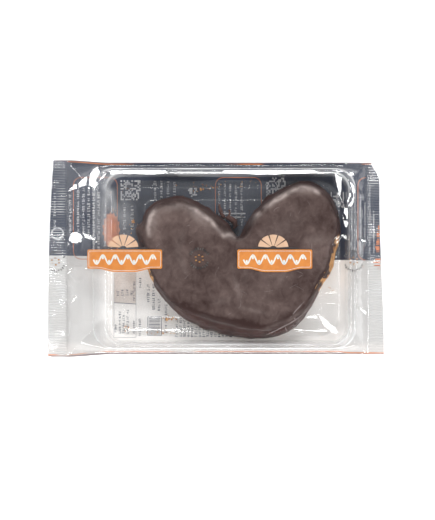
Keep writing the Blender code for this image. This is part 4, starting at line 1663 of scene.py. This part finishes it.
@dataclass
class Print:
    """Flat shapes of ink that follow a film, each kind of ink gathered into one piece."""

    surface: Surface
    lift: float
    skin: Skin = field(default_factory=Skin)

    def carry(self, flat: Array) -> Array:
        """Puts flat points on the film."""
        z = self.surface(flat[..., 0].ravel(), flat[..., 1].ravel()).reshape(flat.shape[:-1])
        return np.concatenate([flat, (z + self.lift)[..., None]], -1)

    def block(self, low: Pair, high: Pair, cell: float = 1.5) -> None:
        """Adds a filled rectangle between two corners, in millimetres."""
        spans = ((a, b, max(2, math.ceil((b - a) / cell) + 1)) for a, b in zip(low, high))
        x, y = np.meshgrid(*(np.linspace(*span) for span in spans))
        self.skin.grid(self.carry(np.stack([x, y], 2) * MM))

    def stroke(self, points: Array, width: float, closed: bool = False) -> None:
        """Adds a line of even width, in metres.

        Args:
            points: The line's points.
            width: Its width.
            closed: Whether its end joins its start.
        """
        whole = np.vstack([points, points[:1]]) if closed else points
        length = np.hypot(*np.diff(whole, axis=0).T).sum()
        line = even_steps(points, max(4, int(length / 0.0005)), closed)
        across = sideways(line, closed) * width / 2
        self.skin.grid(self.carry(np.stack([line + across, line - across])), ring=closed)

    def filled(self, outline: Array, spacing: float = 0.0012) -> None:
        """Adds a filled shape from its outline in metres."""
        points, faces = fill_outline(outline, spacing)
        self.skin.add(self.carry(points), faces.tolist())

    def dashes(
        self, x: float, low: float, high: float, width: float, random: np.random.Generator
    ) -> None:
        """Adds a column of marks like a line of fine print turned on its side, in millimetres.

        Args:
            x: Middle of the column.
            low: Its lower end.
            high: Its upper end.
            width: Width of the marks.
            random: Draws their lengths.
        """
        y = low
        while y < high:
            for _ in range(int(random.integers(2, 8))):
                size = random.uniform(0.7, 1.3)
                if y + size > high:
                    return
                self.mark((x, y), width * random.uniform(0.62, 1.0), size, random)
                y += size + random.uniform(0.35, 0.55)
            y += random.uniform(0.6, 1.2)

    def mark(self, low: Pair, width: float, size: float, random: np.random.Generator) -> None:
        """Adds one mark of fine print that is no letter: a spine with one or two bars off it."""
        x, y = low
        pen = 0.30
        # On the crimped seals the marks are cut fine enough to follow the ribs.
        cell = 0.4 if abs(x) > 98 else 3.0
        for across in random.choice((0.0, 0.5, 1.0), int(random.integers(1, 3)), replace=False):
            high = y + (size - pen) * across
            self.block((x - width / 2, high), (x + width / 2, high + pen), cell)
        stem = x + random.choice((-0.5, 0.0, 0.5)) * (width - pen)
        self.block((stem - pen / 2, y), (stem + pen / 2, y + size), cell)

    def code(self, low: Pair, cells: int, cell: float, random: np.random.Generator) -> None:
        """Adds a square of scattered cells, in millimetres."""
        for i in range(cells):
            for j in range(cells):
                if random.random() < 0.46:
                    x, y = low[0] + i * cell, low[1] + j * cell
                    self.block((x, y), (x + cell * 0.92, y + cell * 0.92), 3.0)

    def make(self, name: str, finish: Ink) -> None:
        """Makes and dresses the piece."""
        place(self.skin.make(name), finish.make())


@dataclass
class BackPrint:
    """The print of the back film, seen through the tray from above and bare from below."""

    film: Film
    lift: float = 0.00006
    panels: tuple[Pair, ...] = ((-94.2, -65.4), (-0.4, 30.0))
    # Fine print of the off-white half: x, lower end, upper end and width, in millimetres.
    columns: tuple[tuple[float, float, float, float], ...] = (
        (-66.5, -48.8, -42.4, 1.6), (-63.8, -49.6, -34.5, 1.6), (-61.2, -49.6, -36.7, 1.6),
        (-58.5, -49.6, -33.8, 1.6), (-54.4, -49.6, -40.3, 1.6), (-54.2, -28, -14.5, 1.6),
        (-50.5, -51, -38.8, 1.6), (-50.3, -19.5, -11, 1.6), (-44.9, -28.8, -16, 1.9),
        (-41.4, -33.8, -16, 1.9), (-37.8, -34.5, -26.6, 1.9), (-33.2, -49.6, -27.4, 1.9),
    )
    # Each ink's colour and its worn colour.
    inks: tuple[tuple[str, Colour, Colour], ...] = (
        ("tint", (0.77, 0.70, 0.65), (0.70, 0.62, 0.57)),
        ("pale", (0.66, 0.66, 0.67), (0.44, 0.45, 0.49)),
        ("orange", (0.55, 0.19, 0.085), (0.44, 0.155, 0.075)),
        ("dark", (0.10, 0.11, 0.16), (0.20, 0.21, 0.26)),
    )

    def build(self) -> None:
        """Makes the print on both faces of the film."""
        for side, lift in (("inside", self.lift), ("outside", -self.lift)):
            prints = {name: Print(self.film.back_z, lift) for name, _, _ in self.inks}
            prints["tint"].lift = lift / 2
            self.add_upper(prints["pale"], prints["orange"])
            self.add_lower(prints["dark"], prints["tint"])
            for name, colour, worn in self.inks:
                prints[name].make(f"print_{name}_{side}", Ink(f"{name}_ink_{side}", colour, worn))

    def add_upper(self, pale: Print, orange: Print) -> None:
        """Adds what is printed on the dark blue half.

        Args:
            pale: The off-white ink.
            orange: The orange ink.
        """
        random = np.random.default_rng(11)
        for left, right in self.panels:
            middle, size = ((left + right) * MM / 2, 26.6 * MM), ((right - left) * MM, 54 * MM)
            orange.stroke(rounded_outline(middle, size, 5 * MM), 0.00042, closed=True)
        arc = rounded_outline((0.1098, 0.0262), (0.032, 0.0545), 0.005)
        orange.stroke(self.left_half(arc, 0.1085), 0.0005)
        columns = ((-91.2, 17, 46), (-87.6, 16, 47), (-84.2, 14, 48), (-81.0, 6, 46), (-77.6, 4, 44))
        for x, low, high in columns:
            pale.dashes(x, low, high, 2.0, random)
        for x, low, high in ((-96.4, 14, 43), (-73.6, 8, 30)):
            pale.dashes(x, low, high, 1.7, random)
        pale.code((-63.2, 38.6), 13, 1.02, random)
        pale.code((33.2, 40.6), 13, 1.0, random)
        for x in (-40.4, -36.2, -31.8, -27.5):
            pale.dashes(x, 38.4, 51.6, 2.1, random)
        for x in (-60.6, -55.6):
            pale.dashes(x, 19.0, 35.0, 2.3, random)
        for x, low in ((2.2, 28), (5.8, 24), (9.4, 22), (13.2, 26), (17.0, 22)):
            pale.dashes(x, low, 50.5, 1.7, random)
        for y in (29.8, 27.4):
            pale.block((4.5, y - 0.4), (19.5, y + 0.4))
        pale.code((-18.6, 40.8), 6, 1.0, random)
        columns = ((90.2, 6, 40), (95.4, 2, 44), (98.4, 8, 38), (101.5, 3, 50), (104.2, 4, 32))
        for x, low, high in columns:
            pale.dashes(x, low, high, 1.1, random)
        self.add_ring(pale, (-104.7, 16.5), 3.8, 0.9)
        pale.code((77.4, 34.0), 7, 1.1, random)
        for x in (76.0, 80.0, 84.0):
            pale.block((x, 38.0), (x + 0.7, 44.0))
        for low, high in ((21, 26), (28, 44)):
            pale.dashes(-106.5, low, high, 1.6, random)
        self.add_burst(orange, (-69.4, 19.0), 7.6, 15)
        for row, reach in enumerate((0.8, 1.2, 1.4, 1.1, 1.6, 2.2, 1.8)):
            y = 20.5 - 2.5 * row
            orange.block((108.0 - 1.3 * reach, y - 1.25), (108.0, y + 1.25))
        for y, reach in ((-0.6, 4.4), (-2.6, 5.6), (-4.6, 5.2), (-6.6, 3.0)):
            orange.block((109.6 - reach, y - 0.5), (109.6 - reach * 0.2, y + 0.5))

    def left_half(self, outline: Array, limit: float) -> Array:
        """The open part of a closed outline that lies left of a limit."""
        inside = outline[:, 0] < limit
        start = int(np.argmax(inside & ~np.roll(inside, 1)))
        turned = np.roll(outline, -start, 0)
        return turned[turned[:, 0] < limit]

    def add_ring(self, ink: Print, centre: Pair, radius: float, width: float) -> None:
        """Adds a plain ring, in millimetres."""
        turn = np.linspace(0, 2 * math.pi, 40, endpoint=False)
        circle = np.stack([centre[0] + radius * np.cos(turn), centre[1] + radius * np.sin(turn)], 1)
        ink.stroke(circle * MM, width * MM, closed=True)

    def add_burst(self, ink: Print, centre: Pair, radius: float, points: int) -> None:
        """Adds a round field with a toothed edge, in millimetres."""
        turn = np.linspace(0, 2 * math.pi, 2 * points, endpoint=False)
        reach = radius * np.where(np.arange(2 * points) % 2 == 0, 1.0, 0.84)
        x, y = centre[0] + reach * np.cos(turn) * 0.78, centre[1] + reach * np.sin(turn) * 1.6
        ink.filled(np.stack([x, y], 1) * MM)

    def add_lower(self, dark: Print, tint: Print) -> None:
        """Adds what is printed on the off-white half.

        Args:
            dark: The dark ink.
            tint: The beige ink of the table's ground.
        """
        random = np.random.default_rng(12)
        tint.block((-67.4, -29.6), (-53.2, -9.7), 2.0)
        box = ((-67.6, -9.5), (-53.0, -9.5), (-53.0, -52.4), (-67.6, -52.4))
        dark.stroke(np.array(box) * MM, 0.00020, closed=True)
        dark.stroke(np.array(((-67.6, -29.3), (-53.0, -30.1))) * MM, 0.0004)
        for x, low, high, width in self.columns:
            dark.dashes(x, low, high, width, random)
        for x in (-65.0, -62.0, -59.0, -56.0):
            dark.dashes(x, -24.6, -20.6, 2.0, random)
        for number in range(17):
            dark.dashes(-26.0 + number * 2.55, -52.0, -38.5, 1.9, random)
        for y in np.arange(-50.2, -39.2, 0.62):
            dark.block((-44.4, y), (-37.0, y + random.uniform(0.15, 0.42)))
        border = ((-45.2, -50.9), (-36.2, -50.9), (-36.2, -38.6), (-45.2, -38.6))
        dark.stroke(np.array(border) * MM, 0.0004, closed=True)


@dataclass
class FrontPrint:
    """The print of the front film: two plain orange bands and three faint round marks."""

    film: Film
    lift: float = -0.00006
    band: Pair = (49.2, 12.6)
    band_places: tuple[Pair, ...] = ((-60.0, -0.4), (38.6, -0.4))
    mark_places: tuple[Pair, ...] = ((-106.0, -2.0), (-11.0, 0.0), (90.5, -1.5))

    def build(self) -> None:
        """Makes the bands with their border, wave and fan, and the round marks."""
        bands = Print(self.film.front_z, self.lift)
        trim = Print(self.film.front_z, self.lift + 0.00003)
        fans, shades = (Print(self.film.front_z, self.lift) for _ in range(2))
        for x, y in self.band_places:
            bands.filled(self.plate(x, y, 0.0), 0.0009)
            trim.stroke(self.plate(x, y, 1.0), 0.00026, closed=True)
            self.add_wave(trim, x, y - 0.3)
            self.add_fan(fans, x - 1.0, y + self.band[1] / 2 + 1.2)
            high = y + self.band[1] / 2 + 0.9
            base = [(x + dx, high + 0.5 * math.cos(dx / 9)) for dx in range(-15, 16)]
            shades.stroke(np.array(base) * MM, 0.0006)
        bands.make("band_orange", Ink("band_ink", (0.66, 0.250, 0.050), (0.60, 0.210, 0.040), 0.45))
        trim.make("band_trim", Ink("trim_ink", (0.78, 0.74, 0.66), (0.66, 0.70, 0.70), 0.45))
        fans.make("fans", Ink("fan_ink", (0.70, 0.47, 0.32), (0.64, 0.42, 0.28), 0.45))
        shades.make("fan_lines", Ink("line_ink", (0.035, 0.032, 0.034), (0.06, 0.05, 0.05)))
        marks = Print(self.film.front_z, self.lift)
        specks = Print(self.film.front_z, self.lift)
        for x, y in self.mark_places:
            self.add_mark(marks, specks, x, y)
        marks.make("round_marks", Ink("mark_ink", (0.020, 0.018, 0.020), (0.10, 0.09, 0.085)))
        specks.make("mark_specks", Ink("speck_ink", (0.36, 0.17, 0.05), (0.24, 0.11, 0.05)))

    def plate(self, x: float, y: float, inset: float) -> Array:
        """The outline of a band, bowed out along its lower side, in metres."""
        size = ((self.band[0] - 2 * inset) * MM, (self.band[1] - 2 * inset) * MM)
        line = even_steps(rounded_outline((x * MM, y * MM), size, 0.0008), 130)
        bow = 1 - smooth_step(np.abs(line[:, 0] / MM - x), 6.0, 18.0)
        half = self.band[1] / 2 - inset
        low = smooth_step(y - line[:, 1] / MM, half - 1.0, half)
        line[:, 1] -= 2.2 * MM * bow * low
        return line

    def add_wave(self, ink: Print, x: float, y: float) -> None:
        """Adds a plain wave with a drop in each bend, in millimetres."""
        across = np.linspace(-20.5, 20.5, 120)
        wave = np.stack([x + across, y + 3.0 * np.sin(2 * math.pi * across / 8.2)], 1)
        ink.stroke(wave * MM, 0.00105)
        for step in range(-5, 5):
            side = -1.5 if step % 2 else 1.5
            middle = ((x + 4.1 * (step + 0.5)) * MM, (y + side) * MM)
            ink.filled(rounded_outline(middle, (0.0013, 0.0026), 0.0006, 3), 0.0008)

    def add_fan(self, ink: Print, x: float, y: float) -> None:
        """Adds a low half-round fan of five leaves, in millimetres."""
        for start in range(5):
            turn = np.radians(np.linspace(4 + 35.2 * start, 34 + 35.2 * start, 8))
            near = np.stack([x + 2.0 * np.cos(turn[::-1]), y + 1.2 * np.sin(turn[::-1])], 1)
            far = np.stack([x + 10.0 * np.cos(turn), y + 8.6 * np.sin(turn)], 1)
            ink.filled(np.vstack([far, near]) * MM, 0.0010)

    def add_mark(self, marks: Print, specks: Print, x: float, y: float) -> None:
        """Adds a ring of short ticks round a few specks, in millimetres."""
        for step in range(26):
            turn = 2 * math.pi * step / 26
            if -0.35 < math.sin(turn) < 0.35:
                continue
            near, far = 5.6, 7.3 if step % 3 else 6.8
            ends = [(x + r * math.cos(turn), y + r * math.sin(turn)) for r in (near, far)]
            if abs(ends[1][0]) < 110.0:
                marks.stroke(np.array(ends) * MM, 0.0007)
        for step in range(6):
            turn = 0.6 + step * math.pi / 3
            cx, cy = x + 2.6 * math.cos(turn), y + 2.2 * math.sin(turn)
            if abs(cx) < 109.0:
                specks.filled(rounded_outline((cx * MM, cy * MM), (0.0013, 0.0010), 0.0004, 3), 0.0008)


# The studio


@dataclass
class Studio:
    """The camera above the pack, the softboxes round it and the white floor."""

    view_width: float = 0.2871
    focus_z: float = 0.010
    sensor: float = 36.0
    softboxes: tuple[Softbox, ...] = (BACK, FRONT, RIGHT, LEFT)
    tent: float = 0.62
    zenith: float = 0.07
    backlight: float = 0.45

    def build(self) -> None:
        """Makes the camera, the lights, the world and the floor."""
        scene = bpy.context.scene
        lens = bpy.data.cameras.new("camera")
        lens.sensor_fit = "HORIZONTAL"
        lens.sensor_width = self.sensor
        lens.lens = self.sensor * (CAMERA_PLACE.z - self.focus_z) / self.view_width
        lens.clip_end = 20.0
        camera = bpy.data.objects.new("camera", lens)
        camera.location = CAMERA_PLACE
        scene.collection.objects.link(camera)
        scene.camera = camera
        for softbox in self.softboxes:
            softbox.build()
        scene.world = self.light_tent()
        scene.view_settings.view_transform = "Standard"
        scene.cycles.transparent_max_bounces = 24
        self.build_floor()

    def light_tent(self) -> bpy.types.World:
        """Makes a pale tent all round that is dim overhead, where the camera looks in."""
        world = bpy.data.worlds.new("light_tent")
        world.use_nodes = True
        nodes, links = world.node_tree.nodes, world.node_tree.links
        parts = nodes.new("ShaderNodeSeparateXYZ")
        links.new(nodes.new("ShaderNodeTexCoord").outputs["Generated"], parts.inputs[0])
        ease = nodes.new("ShaderNodeMapRange")
        ease.interpolation_type = "SMOOTHSTEP"
        ranges = {"From Min": 0.62, "From Max": 0.88, "To Min": self.tent, "To Max": self.zenith}
        for name, value in ranges.items():
            ease.inputs[name].default_value = value
        links.new(parts.outputs["Z"], ease.inputs["Value"])
        links.new(ease.outputs["Result"], nodes["Background"].inputs["Strength"])
        nodes["Background"].inputs["Color"].default_value = (1.0, 1.0, 1.0, 1.0)
        return world

    def build_floor(self) -> None:
        """Makes the plain white floor, lit a little from below so that it bears hardly a shadow."""
        skin = Skin()
        reach = np.linspace(-4.0, 4.0, 9)
        x, y = np.meshgrid(reach, reach)
        skin.grid(np.stack([x, y, np.full_like(x, -0.00005)], 2))
        floor = skin.make("floor")
        board = Board("floor_paper")
        base = board.mix(board.noise(0.02, 4.0), (0.93, 0.93, 0.93), (0.96, 0.96, 0.96))
        lit = {"Emission_Color": (1.0, 1.0, 1.0), "Emission_Strength": self.backlight}
        paper = board.surface(Base_Color=base, Roughness=0.9, **lit)
        floor.data.materials.append(board.finish(paper))


def tray_floor(x: Array, y: Array) -> Array:
    """Height of the tray's inside at its floor, its ledge and its raised middle."""
    ledge = 1 - smooth_step(rounded_gap(x, y, 0.0095, (0.1406, 0.0940), 0.008), -0.0003, 0.0003)
    island = 1 - smooth_step(rounded_gap(x, y, 0.0110, (0.1156, 0.0766), 0.006), -0.0003, 0.0003)
    return 0.00094 + 0.00146 * ledge + 0.00122 * island


def main() -> None:
    """Builds every piece in order."""
    logging.basicConfig(level=logging.INFO, format="%(message)s")
    Studio().build()
    palmier = Palmier()
    film = Film(PackForm(), palmier.edge())
    film.build()
    Tray().build()
    palmier.build_pastry()
    palmier.build_coating()
    palmier.build_runs()
    palmier.build_scratches()
    Crumbs(tray_floor).build()
    BackPrint(film).build()
    FrontPrint(film).build()


if __name__ == "__main__":
    main()
